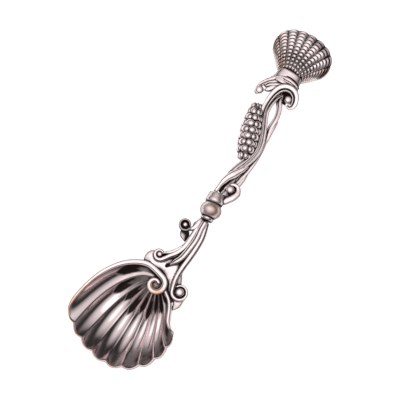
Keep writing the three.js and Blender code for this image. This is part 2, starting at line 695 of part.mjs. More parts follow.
// The room that each piece takes, with the clearance that its neighbours keep
const room = (strand) => sweep(strand, SEAT_GAP);
const bowlSpace = bowlRoom();
const rollSpace = room(roll);
const coreSpace = room(stemCore);
const leftSpace = room(leftReed);
const rightSpace = room(rightReed);
const leftPearlSpace = pearl(leftEye, LEFT_PEARL, SEAT_GAP);
const rightPearlSpace = pearl(rightEye, RIGHT_PEARL, SEAT_GAP);
const sidePearlSpace = pearl(sideEye, SIDE_PEARL, SEAT_GAP);
const collarSpace = turned(collarProfile, collarStart, SEAT_GAP);
const knopSpace = turned(knopProfile, knopStart, SEAT_GAP);
const ringSpace = turned(ringProfile, 0, SEAT_GAP);
const collarPearlSpace = pearl(collarEye, COLLAR_PEARL, SEAT_GAP);
const leafSpace = room(leafRibbon);
const outerSpace = room(outerVine);
const innerSpace = room(innerVine);
const rearSpace = room(rearVine);
const thinSpaces = Object.values(thinReeds).map((path) => room(thinReed(path)));
const upperSpaces = [leafSpace, outerSpace, innerSpace];
const archPearlSpace = pearl(archEye, ARCH_PEARL, SEAT_GAP);
const crestPearlSpace = pearl(crestEye, CREST_PEARL, SEAT_GAP);
const neckSpace = room(neck);

place('bowl', carve(bowlWall(), [rollSpace]));
place('rolled_edge', sweep(roll), 'rubbed_copper');
place('shoulder', carve(sweep(shoulder),
  [bowlSpace, rollSpace, coreSpace, leftSpace, rightSpace, leftPearlSpace, rightPearlSpace]));

place('stem_core', sweep(stemCore));
place('stem_left_reed', carve(sweep(leftReed), [coreSpace, ringSpace]));
place('stem_right_reed', carve(sweep(rightReed), [coreSpace, ringSpace]));
place('left_pearl', pearl(leftEye, LEFT_PEARL));
place('right_pearl', pearl(rightEye, RIGHT_PEARL));
place('side_scroll', carve(sweep(sideScroll), [coreSpace, leftSpace, ringSpace, sidePearlSpace]));
place('side_pearl', pearl(sideEye, SIDE_PEARL));
place('side_leaf', carve(sweep(sideLeaf), [room(sideScroll), leftSpace, coreSpace, sidePearlSpace]));

place('knop_ring', turned(ringProfile, 0));
place('knop_bead', turned(knopProfile, knopStart), 'rubbed_copper');
place('collar', turned(collarProfile, collarStart));
place('collar_scroll', carve(sweep(collarScroll),
  [collarSpace, knopSpace, leafSpace, rearSpace, collarPearlSpace, ...thinSpaces]));
place('collar_pearl', pearl(collarEye, COLLAR_PEARL));

place('leaf_ribbon', sweep(leafRibbon));
place('outer_vine', carve(sweep(outerVine), [leafSpace, archPearlSpace]));
place('inner_vine', carve(sweep(innerVine), [leafSpace, outerSpace]));
place('rear_vine', carve(sweep(rearVine), [...upperSpaces, collarSpace, collarPearlSpace]));
for (const [name, path] of Object.entries(thinReeds)) {
  place(name, carve(sweep(thinReed(path)), [...upperSpaces, rearSpace, collarPearlSpace]));
}
place('arch_pearl', pearl(archEye, ARCH_PEARL));
place('cob', carve(sweep(cob), [...upperSpaces, rearSpace]));

place('crest_leaf', carve(joined(crestLobes), [outerSpace, crestPearlSpace]));
place('crest_pearl', pearl(crestEye, CREST_PEARL));
place('neck', carve(sweep(neck), [outerSpace, innerSpace, rearSpace, ...crestLobes.map(room)]));
place('shell_front', carve(shellValve(SHELL_FRONT_RISE, true, SHELL_ROWS), [neckSpace]));
place('shell_back', carve(shellValve(-SHELL_BACK_DROP, false, BACK_ROWS), [neckSpace]));

export default spoon;
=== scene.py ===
"""Dresses the packed ice cream spoon: fluted bowl, scrolled stem, vine handle and shell finial.

Everything is in metres, in the frame of the solids: X along the handle, Z up out of the bowl.
"""

import json
import math

import bmesh
import bpy
from bpy.props import FloatProperty, FloatVectorProperty, IntProperty, PointerProperty
from mathutils import Matrix, Vector
from mathutils.bvhtree import BVHTree

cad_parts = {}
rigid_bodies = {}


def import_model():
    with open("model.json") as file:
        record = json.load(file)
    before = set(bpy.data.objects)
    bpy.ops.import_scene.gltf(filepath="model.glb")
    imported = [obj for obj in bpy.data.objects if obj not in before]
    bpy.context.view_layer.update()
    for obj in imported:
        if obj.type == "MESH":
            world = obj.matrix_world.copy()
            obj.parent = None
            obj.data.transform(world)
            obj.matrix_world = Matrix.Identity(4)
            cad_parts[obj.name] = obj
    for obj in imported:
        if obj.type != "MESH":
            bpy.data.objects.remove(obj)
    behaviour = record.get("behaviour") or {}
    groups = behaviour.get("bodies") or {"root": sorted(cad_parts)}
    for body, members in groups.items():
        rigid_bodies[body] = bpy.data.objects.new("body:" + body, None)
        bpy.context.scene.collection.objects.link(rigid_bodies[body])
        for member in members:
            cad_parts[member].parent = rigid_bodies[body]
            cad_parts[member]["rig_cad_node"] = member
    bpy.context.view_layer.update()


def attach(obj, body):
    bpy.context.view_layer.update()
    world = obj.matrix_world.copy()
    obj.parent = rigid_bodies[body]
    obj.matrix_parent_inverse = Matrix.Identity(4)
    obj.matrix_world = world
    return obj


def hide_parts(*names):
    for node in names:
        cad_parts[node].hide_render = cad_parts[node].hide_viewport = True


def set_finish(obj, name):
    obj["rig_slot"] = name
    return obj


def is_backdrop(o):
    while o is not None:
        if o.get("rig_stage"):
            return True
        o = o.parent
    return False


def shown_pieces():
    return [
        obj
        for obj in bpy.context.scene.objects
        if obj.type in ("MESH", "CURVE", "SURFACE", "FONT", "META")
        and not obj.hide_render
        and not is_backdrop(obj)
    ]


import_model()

bl_info = {
    "name": "Shell Spoon",
    "version": (1, 0, 0),
    "blender": (4, 5, 0),
    "location": "View3D > Sidebar > Spoon",
    "description": "Builds an ornamental cast dessert spoon piece by piece",
    "category": "Object",
}

MM = 0.001
UP = Vector((0.0, 0.0, 1.0))
TURN = 2.0 * math.pi


def linear(hex_colour):
    """A colour written as sRGB hex, as linear red, green, blue and alpha."""
    channels = [int(hex_colour[i:i + 2], 16) / 255.0 for i in (1, 3, 5)]
    lin = [c / 12.92 if c <= 0.04045 else ((c + 0.055) / 1.055) ** 2.4 for c in channels]
    return (*lin, 1.0)


def length(name, description, millimetres):
    """A length that can be set by itself."""
    return FloatProperty(name=name, description=description, default=millimetres * MM,
                         unit="LENGTH", precision=5)


def angle(name, description, degrees):
    """An angle that can be set by itself."""
    return FloatProperty(name=name, description=description, default=math.radians(degrees),
                         subtype="ANGLE")


def count(name, description, number):
    """A number of like things that can be set by itself."""
    return IntProperty(name=name, description=description, default=number, min=3)


def colour(name, description, hex_colour):
    """A colour that can be set by itself."""
    return FloatVectorProperty(name=name, description=description, default=linear(hex_colour),
                               size=4, subtype="COLOR", min=0.0, max=1.0)


class BowlSizes(bpy.types.PropertyGroup):
    """Sizes of the fluted bowl, its rolled edge and its shoulder."""

    rim_height: length("Rim height", "Height of the rim over the table", 7.8)
    rim_rise: length("Rim rise", "How much higher the rim is at the hinge", 0.6)
    wall: length("Wall", "Thickness where the bowl is deepest", 1.1)
    rim_wall: length("Rim wall", "Thickness at the rim", 1.05)
    flat_depth: length("Flat depth", "How much of the back is levelled off", 0.4)
    hinge_back: length("Hinge back", "From the resting flat to the point where the flutes meet", 15.4)
    hinge_side: length("Hinge side", "How far left that point lies", 1.2)
    hinge_radius: length("Hinge radius", "Radius at which the flutes begin", 1.2)
    hinge_height: length("Hinge height", "Height of the coil's middle", 8.7)
    reach_left: length("Left reach", "From the hinge to the left corner of the rim", 28.5)
    reach_front: length("Front reach", "From the hinge to the front of the rim", 29.1)
    reach_right: length("Right reach", "From the hinge to the right corner of the rim", 16.5)
    fan_left: angle("Fan left", "Direction of the left edge", 138)
    fan_right: angle("Fan right", "Direction of the right edge", 232)
    flutes: count("Flutes", "Flutes in the bowl", 9)
    flute_depth: length("Flute depth", "Height of the ridges between the flutes", 0.68)
    back_flute_depth: length("Back flute depth", "Depth of the flutes on the back", 0.3)
    lobe_bulge: length("Lobe bulge", "How far each lobe of the rim stands out", 0.7)
    left_sweep: angle("Left sweep", "How much the flutes curl near the left edge", 53)
    right_sweep: angle("Right sweep", "How much the flutes curl near the right edge", 12)
    edge_wave: angle("Edge wave", "Sway of the right edge", 6)
    roll_breadth: length("Roll breadth", "Breadth of the rolled edge", 1.85)
    roll_depth: length("Roll depth", "Depth of the rolled edge", 1.5)
    coil_radius: length("Coil radius", "Radius of the coil at the hinge", 3.2)
    coil_eye: length("Coil eye", "Radius at which the coil ends", 0.85)
    coil_rise: length("Coil rise", "How far the coil climbs", 0.9)
    coil_shift: length("Coil shift", "How far the coil lies towards the bowl", 0.7)
    plug_radius: length("Plug radius", "Radius of the plug that closes the coil below", 2.7)
    plug_depth: length("Plug depth", "Depth of that plug", 0.8)
    plug_drop: length("Plug drop", "How far the plug lies under the coil's middle", 0.6)
    shoulder_breadth: length("Shoulder breadth", "Breadth of the shoulder", 6.6)
    shoulder_depth: length("Shoulder depth", "Depth of the shoulder", 2.0)
    seat_radius: length("Seat radius", "Radius of the seat that the coil lies on", 4.0)
    seat_breadth: length("Seat breadth", "Breadth of that seat", 2.6)
    seat_depth: length("Seat depth", "Depth of that seat", 1.4)
    seat_drop: length("Seat drop", "How far the seat lies under the coil's middle", 1.5)


class StemSizes(bpy.types.PropertyGroup):
    """Sizes of the stem, its scrolls and the turned pieces."""

    length: length("Length", "From the hinge to the ring", 24.7)
    spread: length("Spread", "Breadth that the stem's reeds spread over", 8.0)
    arch: length("Arch", "How far the stem rises in its middle", 0.9)
    reed_breadth: length("Reed breadth", "Breadth of the outer reeds", 1.95)
    reed_depth: length("Reed depth", "Depth of the outer reeds", 2.2)
    core_breadth: length("Core breadth", "Breadth of the middle reed", 2.3)
    core_depth: length("Core depth", "Depth of the middle reed", 3.0)
    web_breadth: length("Web breadth", "Breadth of the web behind the reeds", 4.2)
    web_depth: length("Web depth", "Depth of that web", 1.0)
    bed_depth: length("Bed depth", "Depth of the thin beds behind the ornament", 0.8)
    curl_breadth: length("Curl breadth", "Breadth of the dark curl at the middle reed's foot", 0.5)
    curl_depth: length("Curl depth", "Depth of that curl", 1.2)
    ridge_breadth: length("Ridge breadth", "Breadth of the ridge beside the left reed", 1.1)
    ridge_depth: length("Ridge depth", "Depth of that ridge", 1.6)
    valley_breadth: length("Valley breadth", "Breadth of the dark valley beside the left reed", 1.8)
    left_scroll: length("Left scroll", "Radius of the left shoulder scroll", 1.85)
    left_scroll_end: length("Left scroll end", "Radius at which that scroll ends", 1.1)
    left_pearl: length("Left pearl", "Diameter of the pearl in the left scroll", 1.7)
    right_scroll: length("Right scroll", "Radius of the right shoulder scroll", 2.5)
    right_scroll_end: length("Right scroll end", "Radius at which that scroll ends", 1.95)
    right_pearl: length("Right pearl", "Diameter of the pearl in the right scroll", 2.9)
    side_scroll: length("Side scroll", "Radius of the small scroll beside the knop", 1.85)
    side_scroll_end: length("Side scroll end", "Radius at which that scroll ends", 1.5)
    side_ring: length("Side ring", "Breadth of the ring round the small scroll's pearl", 0.8)
    side_bed: length("Side bed", "Breadth of the bed inside that ring", 3.4)
    side_bed_drop: length("Side bed drop", "How far that bed lies under the pearl", 0.7)
    side_web: length("Side web", "Breadth of the web behind the small scroll", 2.4)
    side_pearl: length("Side pearl", "Diameter of the pearl in the small scroll", 1.6)
    leaf_breadth: length("Leaf breadth", "Breadth of the flap under the small scroll", 3.0)
    leaf_depth: length("Leaf depth", "Depth of that flap", 1.3)
    knop_height: length("Knop height", "Height of the stem's end over the table", 10.1)
    knop_turn: angle("Knop turn", "Turn of the turned pieces to the left", 10)
    knop_dip: angle("Knop dip", "Dip of the turned pieces", 6)
    ring_diameter: length("Ring diameter", "Diameter of the ring", 4.2)
    ring_length: length("Ring length", "Length of the ring", 1.0)
    knop_diameter: length("Knop diameter", "Diameter of the knop", 6.9)
    knop_length: length("Knop length", "Length of the knop", 4.7)
    collar_diameter: length("Collar diameter", "Diameter of the collar at the knop", 6.1)
    collar_top: length("Collar top", "Diameter of the collar at the vine", 5.3)
    collar_length: length("Collar length", "Length of the collar", 3.1)


class VineSizes(bpy.types.PropertyGroup):
    """Sizes of the vine twist, its scrolls, the cob and the crest."""

    length: length("Length", "From the collar to the neck", 41.4)
    spread: length("Spread", "Breadth that the strands spread over", 8.0)
    layer: length("Layer", "Rise between the strands behind and in front", 2.0)
    reed_breadth: length("Reed breadth", "Breadth of the two long strands", 1.9)
    reed_depth: length("Reed depth", "Depth of the two long strands", 1.6)
    rear_breadth: length("Rear breadth", "Breadth of the strand behind", 2.2)
    rear_depth: length("Rear depth", "Depth of the strand behind", 1.8)
    rear_web: length("Rear web", "Breadth of the web under the leaf that crosses over", 3.6)
    arch_web: length("Arch web", "Breadth of the web inside the arch", 5.4)
    bed_depth: length("Bed depth", "Depth of the thin webs and beds behind the ornament", 0.8)
    thin_breadth: length("Thin breadth", "Breadth of the thin reeds", 1.3)
    thin_depth: length("Thin depth", "Depth of the thin reeds", 1.3)
    leaf_breadth: length("Leaf breadth", "Breadth of the leaf that crosses over", 2.7)
    leaf_depth: length("Leaf depth", "Depth of that leaf", 1.3)
    scroll_breadth: length("Scroll breadth", "Breadth of the scroll on the collar", 2.1)
    scroll_depth: length("Scroll depth", "Depth of that scroll", 1.8)
    scroll_web: length("Scroll web", "Breadth of the web behind that scroll", 3.4)
    collar_pearl: length("Collar pearl", "Diameter of the pearl in that scroll", 2.6)
    arch_pearl: length("Arch pearl", "Diameter of the pearl in the arch", 2.5)
    cob_length: length("Cob length", "Length of the cob", 18.8)
    cob_diameter: length("Cob diameter", "Diameter of the cob's core", 6.0)
    cob_lean: angle("Cob lean", "Lean of the cob to the left", 19.3)
    kernel_rows: count("Kernel rows", "Rows of kernels", 9)
    kernel_columns: count("Kernel columns", "Kernels in a row", 7)
    kernel_height: length("Kernel height", "How far a kernel stands out", 0.8)
    crest_breadth: length("Crest breadth", "Breadth of a lobe of the crest leaf", 2.15)
    crest_depth: length("Crest depth", "Depth of the crest leaf", 1.8)
    crest_bed: length("Crest bed", "Breadth of the bed behind the crest leaf", 3.6)
    crest_line: length("Crest line", "Breadth of the dark line between crest and neck", 0.55)
    crest_line_depth: length("Crest line depth", "Depth of that line", 0.5)
    crest_pearl: length("Crest pearl", "Diameter of the pearl at the crest's tip", 2.8)


class FinialSizes(bpy.types.PropertyGroup):
    """Sizes of the neck and the shell finial."""

    neck_height: length("Neck height", "Height of the neck's middle over the table", 6.2)
    neck_length: length("Neck length", "Length of the neck", 6.2)
    neck_low: length("Neck low", "Breadth of the neck at the arch", 10.8)
    neck_high: length("Neck high", "Breadth of the neck at the shell", 7.9)
    neck_depth: length("Neck depth", "Depth of the neck", 4.2)
    shell_length: length("Shell length", "From the fan's centre to its edge", 19.3)
    shell_root: length("Shell root", "Radius at which the ribs begin", 5.4)
    shell_side: length("Shell side", "How far left the fan's centre lies", 0.3)
    shell_turn: angle("Shell turn", "Turn of the fan to the left", 1.0)
    half_angle: angle("Half angle", "Half the fan's opening", 45)
    corner: length("Corner", "How much shorter the fan is at its corners", 6.3)
    front_rise: length("Front rise", "Rise of the front valve", 4.6)
    back_drop: length("Back drop", "Depth of the back valve", 3.6)
    ribs: count("Ribs", "Ribs of the shell", 9)
    rib_height: length("Rib height", "Height of a rib", 0.6)
    rings: count("Rings", "Growth rings of the shell", 11)
    lip: length("Lip", "Thickness of a valve at its edge", 0.5)
    gap: length("Gap", "Clearance between neighbouring pieces", 0.3)


class SpoonFinish(bpy.types.PropertyGroup):
    """Colours of the antiqued casting and of the tabletop."""

    silver: colour("Bright metal", "Relieved casting on the high places", "#F3E1E2")
    steel: colour("Polished metal", "Polished casting in the bowl", "#E9D6D7")
    copper: colour("Copper", "Copper plating where the edges were rubbed", "#E4BBA8")
    # This black is also the colour of the painted shade on steep faces, webs and beds, the bowl's dark
    # reflections and the shell's edge
    oxide: colour("Oxide", "Blackening left in the recesses", "#251816")
    floor: colour("Floor", "Tabletop", "#F4F4F4")


def sizes():
    """The four groups of sizes."""
    scene = bpy.context.scene
    return scene.spoon_bowl, scene.spoon_stem, scene.spoon_vine, scene.spoon_finial


def mix(low, high, share):
    """The value at a share of the way from low to high."""
    return low + (high - low) * share


def smooth(share):
    """A share between 0 and 1, eased at both ends."""
    share = min(1.0, max(0.0, share))
    return share * share * (3.0 - 2.0 * share)


def rise(value, start, run):
    """A soft step up from 0 at start to 1 a run later."""
    return smooth((value - start) / run)


def fall(value, end, run):
    """A soft step down from 1, a run earlier, to 0 at end."""
    return smooth((end - value) / run)


def value_at(values, t):
    """The value at place t, from 0 to 1, in a list of evenly spaced values."""
    place = t * (len(values) - 1)
    index = min(int(place), len(values) - 2)
    return mix(values[index], values[index + 1], smooth(place - index))


# Places along the handle

STEM_END_ASIDE = -0.31
NECK_ASIDE = 0.2
NECK_UNDER_ARCH = 0.1


def hinge():
    """The point where the flutes meet, at the height of the coil."""
    bowl, _, _, _ = sizes()
    return Vector((bowl.hinge_back, bowl.hinge_side, bowl.hinge_height))


def on_stem(along, aside, above=0.0):
    """A place on the stem, in shares of its length, of its spread and of a reed's depth."""
    bowl, stem, _, _ = sizes()
    arch = 4.0 * stem.arch * along * (1.0 - along)
    height = mix(bowl.hinge_height, stem.knop_height, along) + arch + above * stem.reed_depth
    return Vector((bowl.hinge_back + along * stem.length, bowl.hinge_side + aside * stem.spread, height))


def stem_path(*places):
    """Places on the stem, for a strand to follow."""
    return [on_stem(*place) for place in places]


def stem_end():
    """Where the stem meets the ring."""
    return on_stem(1.0, STEM_END_ASIDE)


def knop_direction():
    """The axis of the turned pieces."""
    _, stem, _, _ = sizes()
    dip = Matrix.Rotation(stem.knop_dip, 3, "Y")
    turn = Matrix.Rotation(stem.knop_turn, 3, "Z")
    return turn @ dip @ Vector((1.0, 0.0, 0.0))


def collar_end():
    """Where the collar meets the vine."""
    _, stem, _, finial = sizes()
    run = stem.ring_length + stem.knop_length + stem.collar_length + 2.0 * finial.gap
    return stem_end() + knop_direction() * run


def on_vine(along, aside, above=0.0):
    """A place on the vine, in shares of its length, of its spread and of a layer."""
    _, _, vine, finial = sizes()
    end = collar_end()
    height = mix(end.z, finial.neck_height, along) + above * vine.layer
    return Vector((end.x + along * vine.length, end.y + aside * vine.spread, height))


def vine_path(*places):
    """Places on the vine, for a strand to follow."""
    return [on_vine(*place) for place in places]


def neck_foot():
    """Where the neck begins, a little way under the arch."""
    _, _, _, finial = sizes()
    return on_vine(1.0, NECK_ASIDE) - Vector((NECK_UNDER_ARCH * finial.neck_length, 0.0, 0.0))


def spiral(centre, start_radius, end_radius, start, turn, points):
    """Points of a flat spiral round a centre, which starts and turns by degrees."""
    line = []
    for index in range(points):
        share = index / (points - 1)
        way = math.radians(start + turn * share)
        radius = mix(end_radius, start_radius, 1.0 - share)
        line.append(centre + Vector((math.cos(way) * radius, math.sin(way) * radius, 0.0)))
    return line


class Path:
    """A smooth curve through points, sampled evenly along its length."""

    STEPS = 24

    def __init__(self, points):
        ends = [2.0 * points[0] - points[1], *points, 2.0 * points[-1] - points[-2]]
        self.line = [points[0].copy()]
        for before, start, end, after in zip(ends, ends[1:], ends[2:], ends[3:]):
            self.line += [self.between(before, start, end, after, step / self.STEPS)
                          for step in range(1, self.STEPS + 1)]
        self.reach = [0.0]
        for start, end in zip(self.line, self.line[1:]):
            self.reach.append(self.reach[-1] + (end - start).length)
        self.length = self.reach[-1]

    @staticmethod
    def between(before, start, end, after, share):
        """A place between two points of a centripetal Catmull-Rom curve."""
        knots = [0.0]
        for one, other in ((before, start), (start, end), (end, after)):
            knots.append(knots[-1] + max(1e-6, math.sqrt((other - one).length)))
        t = mix(knots[1], knots[2], share)
        row = [before, start, end, after]
        for spans in (((0, 1), (1, 2), (2, 3)), ((0, 2), (1, 3)), ((1, 2),)):
            row = [row[i] + (row[i + 1] - row[i]) * ((t - knots[low]) / (knots[high] - knots[low]))
                   for i, (low, high) in enumerate(spans)]
        return row[0]

    def at(self, t):
        """The point at a share of the length, and the direction there."""
        goal = t * self.length
        low = 0
        high = len(self.reach) - 1
        while high - low > 1:
            middle = (low + high) // 2
            if self.reach[middle] <= goal:
                low = middle
            else:
                high = middle
        span = max(1e-12, self.reach[high] - self.reach[low])
        point = self.line[low].lerp(self.line[high], (goal - self.reach[low]) / span)
        back = self.line[max(0, low - 1)]
        ahead = self.line[min(len(self.line) - 1, high + 1)]
        return point, (ahead - back).normalized()


# Meshes

MERGE_DISTANCE = 0.002 * MM
SLIVER = 0.001 * MM


def as_mesh(name, shape):
    """A mesh of a finished bmesh, which is freed."""
    mesh = bpy.data.meshes.new(name)
    shape.to_mesh(mesh)
    shape.free()
    return mesh


def as_object(name, data):
    """An object of a mesh, lamp or camera, linked to the scene."""
    holder = bpy.data.objects.new(name, data)
    bpy.context.scene.collection.objects.link(holder)
    return holder


def keep(name, shape, slot, *nodes):
    """Makes an object of a finished bmesh, smooth shaded, which rides on the spoon and stands for nodes."""
    bmesh.ops.remove_doubles(shape, verts=shape.verts, dist=MERGE_DISTANCE)
    bmesh.ops.dissolve_degenerate(shape, edges=shape.edges, dist=SLIVER)
    bmesh.ops.recalc_face_normals(shape, faces=shape.faces)
    for face in shape.faces:
        face.smooth = True
    mesh = as_mesh(name, shape)
    if not mesh.polygons:
        raise RuntimeError(f"{name} has no faces")
    piece = as_object(name, mesh)
    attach(piece, "root")
    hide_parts(*nodes)
    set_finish(piece, slot)
    return piece


def warped_sheet(shape, columns, rows, place, **marks):
    """Adds a sheet of faces to a bmesh, each corner moved to place(across, out) and given the values of
    the functions in marks."""
    layers = {}
    for name in marks:
        layers[name] = shape.verts.layers.float.get(name) or shape.verts.layers.float.new(name)
    made = bmesh.ops.create_grid(shape, x_segments=columns, y_segments=rows, size=0.5)
    for corner in made["verts"]:
        across = corner.co.x + 0.5
        out = corner.co.y + 0.5
        corner.co = place(across, out)
        for name, mark in marks.items():
            corner[layers[name]] = mark(across, out)


def plain(_t, _way):
    """A relief without grooves."""
    return 1.0


def grooves(places, depth, width):
    """A relief with lengthwise grooves at angles round a strand, in degrees from its left side."""
    def relief(_t, way):
        cut = 0.0
        for place in places:
            off = (math.degrees(way) - place + 180.0) % 360.0 - 180.0
            cut += math.exp(-(off / width) ** 2)
        return 1.0 - depth * min(1.0, cut)
    return relief


# How much oxide a groove keeps for its depth, and how much closer a strand's rows lie at its ends
GROOVE_OXIDE = 2.3
END_CLOSENESS = 0.6

# Oxide that stays on a strand or wall whatever its form. On the webs, beds and black lines that lie behind,
# under or between the ornament it is also painted shade
BLACK = 0.9
WEB_OXIDE_AND_SHADE = 0.8
COB_SOOT = 0.5
BED_OXIDE_AND_SHADE = 0.4
RING_SOOT = 0.38
BACK_SOOT = 0.36
SIDE_WEB_OXIDE_AND_SHADE = 0.35
FLAP_SOOT = 0.3
FAINT_SOOT = 0.15


def strand(points, breadth, depth, taper, relief=plain, steps=120, sides=28, squareness=0.7,
           rounding=0.5, into=None, soot=0.0, rubbed=None):
    """A rounded strand along a path: a sheet rolled round it and drawn together at both ends. It goes
    into a bmesh that is given, keeps oxide in its grooves, and is rubbed where a function of the way
    along says so."""
    path = Path(points)

    def eased(along):
        return mix(along, 0.5 - 0.5 * math.cos(math.pi * along), END_CLOSENESS)

    def place(along, way):
        t = eased(along)
        point, tangent = path.at(t)
        side = UP.cross(tangent).normalized()
        lift = tangent.cross(side)
        size = value_at(taper, t)
        end = min(1.0, min(t, 1.0 - t) * path.length / (rounding * breadth * size))
        close = math.sqrt(max(0.0, 1.0 - (1.0 - end) ** 2))
        turn = TURN * way
        swell = relief(t, turn) * close
        c = math.cos(turn)
        s = math.sin(turn)
        across = math.copysign(abs(c) ** squareness, c) * breadth / 2.0 * size * swell
        above = math.copysign(abs(s) ** squareness, s) * depth / 2.0 * math.sqrt(size) * swell
        return point + side * across + lift * above

    def oxide_and_shade_sum(along, way):
        return soot + GROOVE_OXIDE * (1.0 - relief(eased(along), TURN * way))

    def copper(along, _way):
        return rubbed(eased(along)) if rubbed else 0.0

    shape = into or bmesh.new()
    warped_sheet(shape, steps, sides, place, soot=oxide_and_shade_sum, rub=copper)
    return shape


# A pearl's outline from its foot to its flattened top, and how far its middle is raised, in radii
PEARL_OUTLINE = ((0.0, -1.0), (0.42, -0.92), (0.78, -0.66), (0.97, -0.28), (1.0, 0.0), (0.96, 0.21),
                 (0.85, 0.38), (0.64, 0.52), (0.35, 0.6), (0.0, 0.63))
PEARL_LIFT = 0.3
PEARL_SIDES = 40


def keep_pearl(name, centre, diameter, node):
    """Makes a cast pearl, a little flattened, on a turned foot."""
    shape = bmesh.new()
    radius = diameter / 2.0
    centre = centre + UP * PEARL_LIFT * radius
    corners = [shape.verts.new(centre + Vector((x * radius, 0.0, z * radius))) for x, z in PEARL_OUTLINE]
    edges = [shape.edges.new(pair) for pair in zip(corners, corners[1:])]
    bmesh.ops.subdivide_edges(shape, edges=edges, cuts=1, smooth=1.0)
    bmesh.ops.spin(shape, geom=shape.verts[:] + shape.edges[:], cent=centre, axis=UP, angle=TURN,
                   steps=PEARL_SIDES, use_merge=True)
    keep(name, shape, "antique_silver", node)


# The bowl. Places on it are shares: across the fan from left to right, and out from the hinge to the rim

FAN_FRONT = 0.42
FAN_DEEPEST = 0.53
RIM_POWER = 1.7
LENGTH_POWER = 2.1
LEFT_POWER = 3.2
RIGHT_POWER = 2.6
LEFT_SWEEP_POWER = 4
RIGHT_SWEEP_POWER = 3
WAVE_POWER = 6
LOBE_POWER = 4
LEVEL_POWER = 6
LEVEL_SLOPE = 0.5
RIDGE_ROUNDNESS = 0.07
RIDGE_START = 0.25
RIM_RIDGE = 0.55
RIM_RIDGE_OUT = (0.7, 0.3)
NORMAL_STEP = 0.01
FLUTE_COLUMNS = 20
BOWL_ROWS = 96
LIP_STEPS = 6
LIP_RUB_LEFT = 0.45
LIP_RUB_RIGHT = 0.05

# The painted dark reflection that each flute shows as a black streak by the coil: how far out it reaches,
# the place in the flute where it is longest, how much shorter it gets beside that, and how it fades
STREAKS = (0.5, 0.54, 0.44, 0.5, 0.42, 0.47, 0.4, 0.46, 0.38)
STREAK_PLACE = 0.42
STREAK_POINT = 0.25
STREAK_FLANK = (0.4625, 0.25)
STREAK_END = 0.1
STREAK_LENGTH = 0.3
STREAK_START = 0.12
STREAK_ROOT = 0.68
STREAK_REFLECTION_DARKNESS = 0.8

# The painted dark reflection that greys the flutes towards the front and on the right wall, as starts and
# runs of soft steps
FRONT_OUT = (0.62, 0.3)
FRONT_ACROSS = (0.36, 0.3)
RIGHT_WALL = (0.86, 0.08)
FLUTE_REFLECTION_DARKNESS = 0.55
RIDGE_REFLECTION_DARKNESS = 0.1
FLUTE_FULLNESS = 1.8


def flute(across):
    """How deep a flute is at a share of the way round the fan, with its ridges a little rounded."""
    bowl, _, _, _ = sizes()
    wave = math.sin(math.pi * bowl.flutes * across)
    return math.hypot(wave, RIDGE_ROUNDNESS) / math.hypot(1.0, RIDGE_ROUNDNESS)


def rim_reach(across):
    """How far the rim lies from the hinge."""
    bowl, _, _, _ = sizes()
    left = across < FAN_FRONT
    share = (FAN_FRONT - across) / FAN_FRONT if left else (across - FAN_FRONT) / (1.0 - FAN_FRONT)
    drop = bowl.reach_front - (bowl.reach_left if left else bowl.reach_right)
    return bowl.reach_front - drop * share ** RIM_POWER


def bowl_dip(across, out):
    """Share of the full depth at a place, from 0 at the rim to 1 where the bowl is deepest."""
    middle = max(0.0, out) ** (math.log(0.5) / math.log(FAN_DEEPEST))
    along = max(0.0, 1.0 - abs(2.0 * middle - 1.0) ** LENGTH_POWER)
    power = LEFT_POWER if across < 0.5 else RIGHT_POWER
    side = max(0.0, 1.0 - abs(2.0 * across - 1.0) ** power)
    return along * side


def bowl_inner(across, out, fluted=True):
    """A place on the bowl's inner face before its ridges."""
    bowl, _, _, _ = sizes()
    reach = rim_reach(across)
    lobe = bowl.lobe_bulge * flute(across) * out ** LOBE_POWER if fluted else 0.0
    radius = bowl.hinge_radius + (reach + lobe - bowl.hinge_radius) * out
    left = bowl.left_sweep * (1.0 - across) ** LEFT_SWEEP_POWER
    right = bowl.right_sweep * across ** RIGHT_SWEEP_POWER
    wave = bowl.edge_wave * across ** WAVE_POWER * math.sin(TURN * out)
    way = mix(bowl.fan_left, bowl.fan_right, across) + (right - left) * math.log(reach / radius) + wave
    centre = hinge()
    x = centre.x + math.cos(way) * radius
    y = centre.y + math.sin(way) * radius
    rim = bowl.rim_height + bowl.rim_rise * x / bowl.hinge_back
    return Vector((x, y, mix(rim, bowl.wall, bowl_dip(across, out))))


def bowl_normal(across, out):
    """The direction that the unfluted inner face looks in."""
    ahead = bowl_inner(across, min(1.0, out + NORMAL_STEP), False)
    behind = bowl_inner(across, max(0.0, out - NORMAL_STEP), False)
    right = bowl_inner(min(1.0, across + NORMAL_STEP), out, False)
    left = bowl_inner(max(0.0, across - NORMAL_STEP), out, False)
    return (ahead - behind).cross(right - left).normalized()


def bowl_face(across, out, flute_depth, offset):
    """A place on a face of the bowl with its ridges, which are lower at the hinge and at the rim."""
    height = min(1.0, out / RIDGE_START) * mix(1.0, RIM_RIDGE, rise(out, *RIM_RIDGE_OUT))
    ridge = flute_depth * (1.0 - flute(across)) * height
    return bowl_inner(across, out) + bowl_normal(across, out) * (ridge - offset)


def bowl_dark_reflection_streak(across, out):
    """How black the painted dark reflection in a flute by the coil is."""
    bowl, _, _, _ = sizes()
    # The right edge still belongs to the last flute
    place = min(bowl.flutes * across, bowl.flutes - 0.001)
    aside = abs(place % 1.0 - STREAK_PLACE)
    reach = STREAKS[int(place) % len(STREAKS)] - STREAK_POINT * aside
    root = mix(STREAK_ROOT, 1.0, rise(out, reach - STREAK_LENGTH, STREAK_START))
    return fall(aside, *STREAK_FLANK) * fall(out, reach, STREAK_END) * root


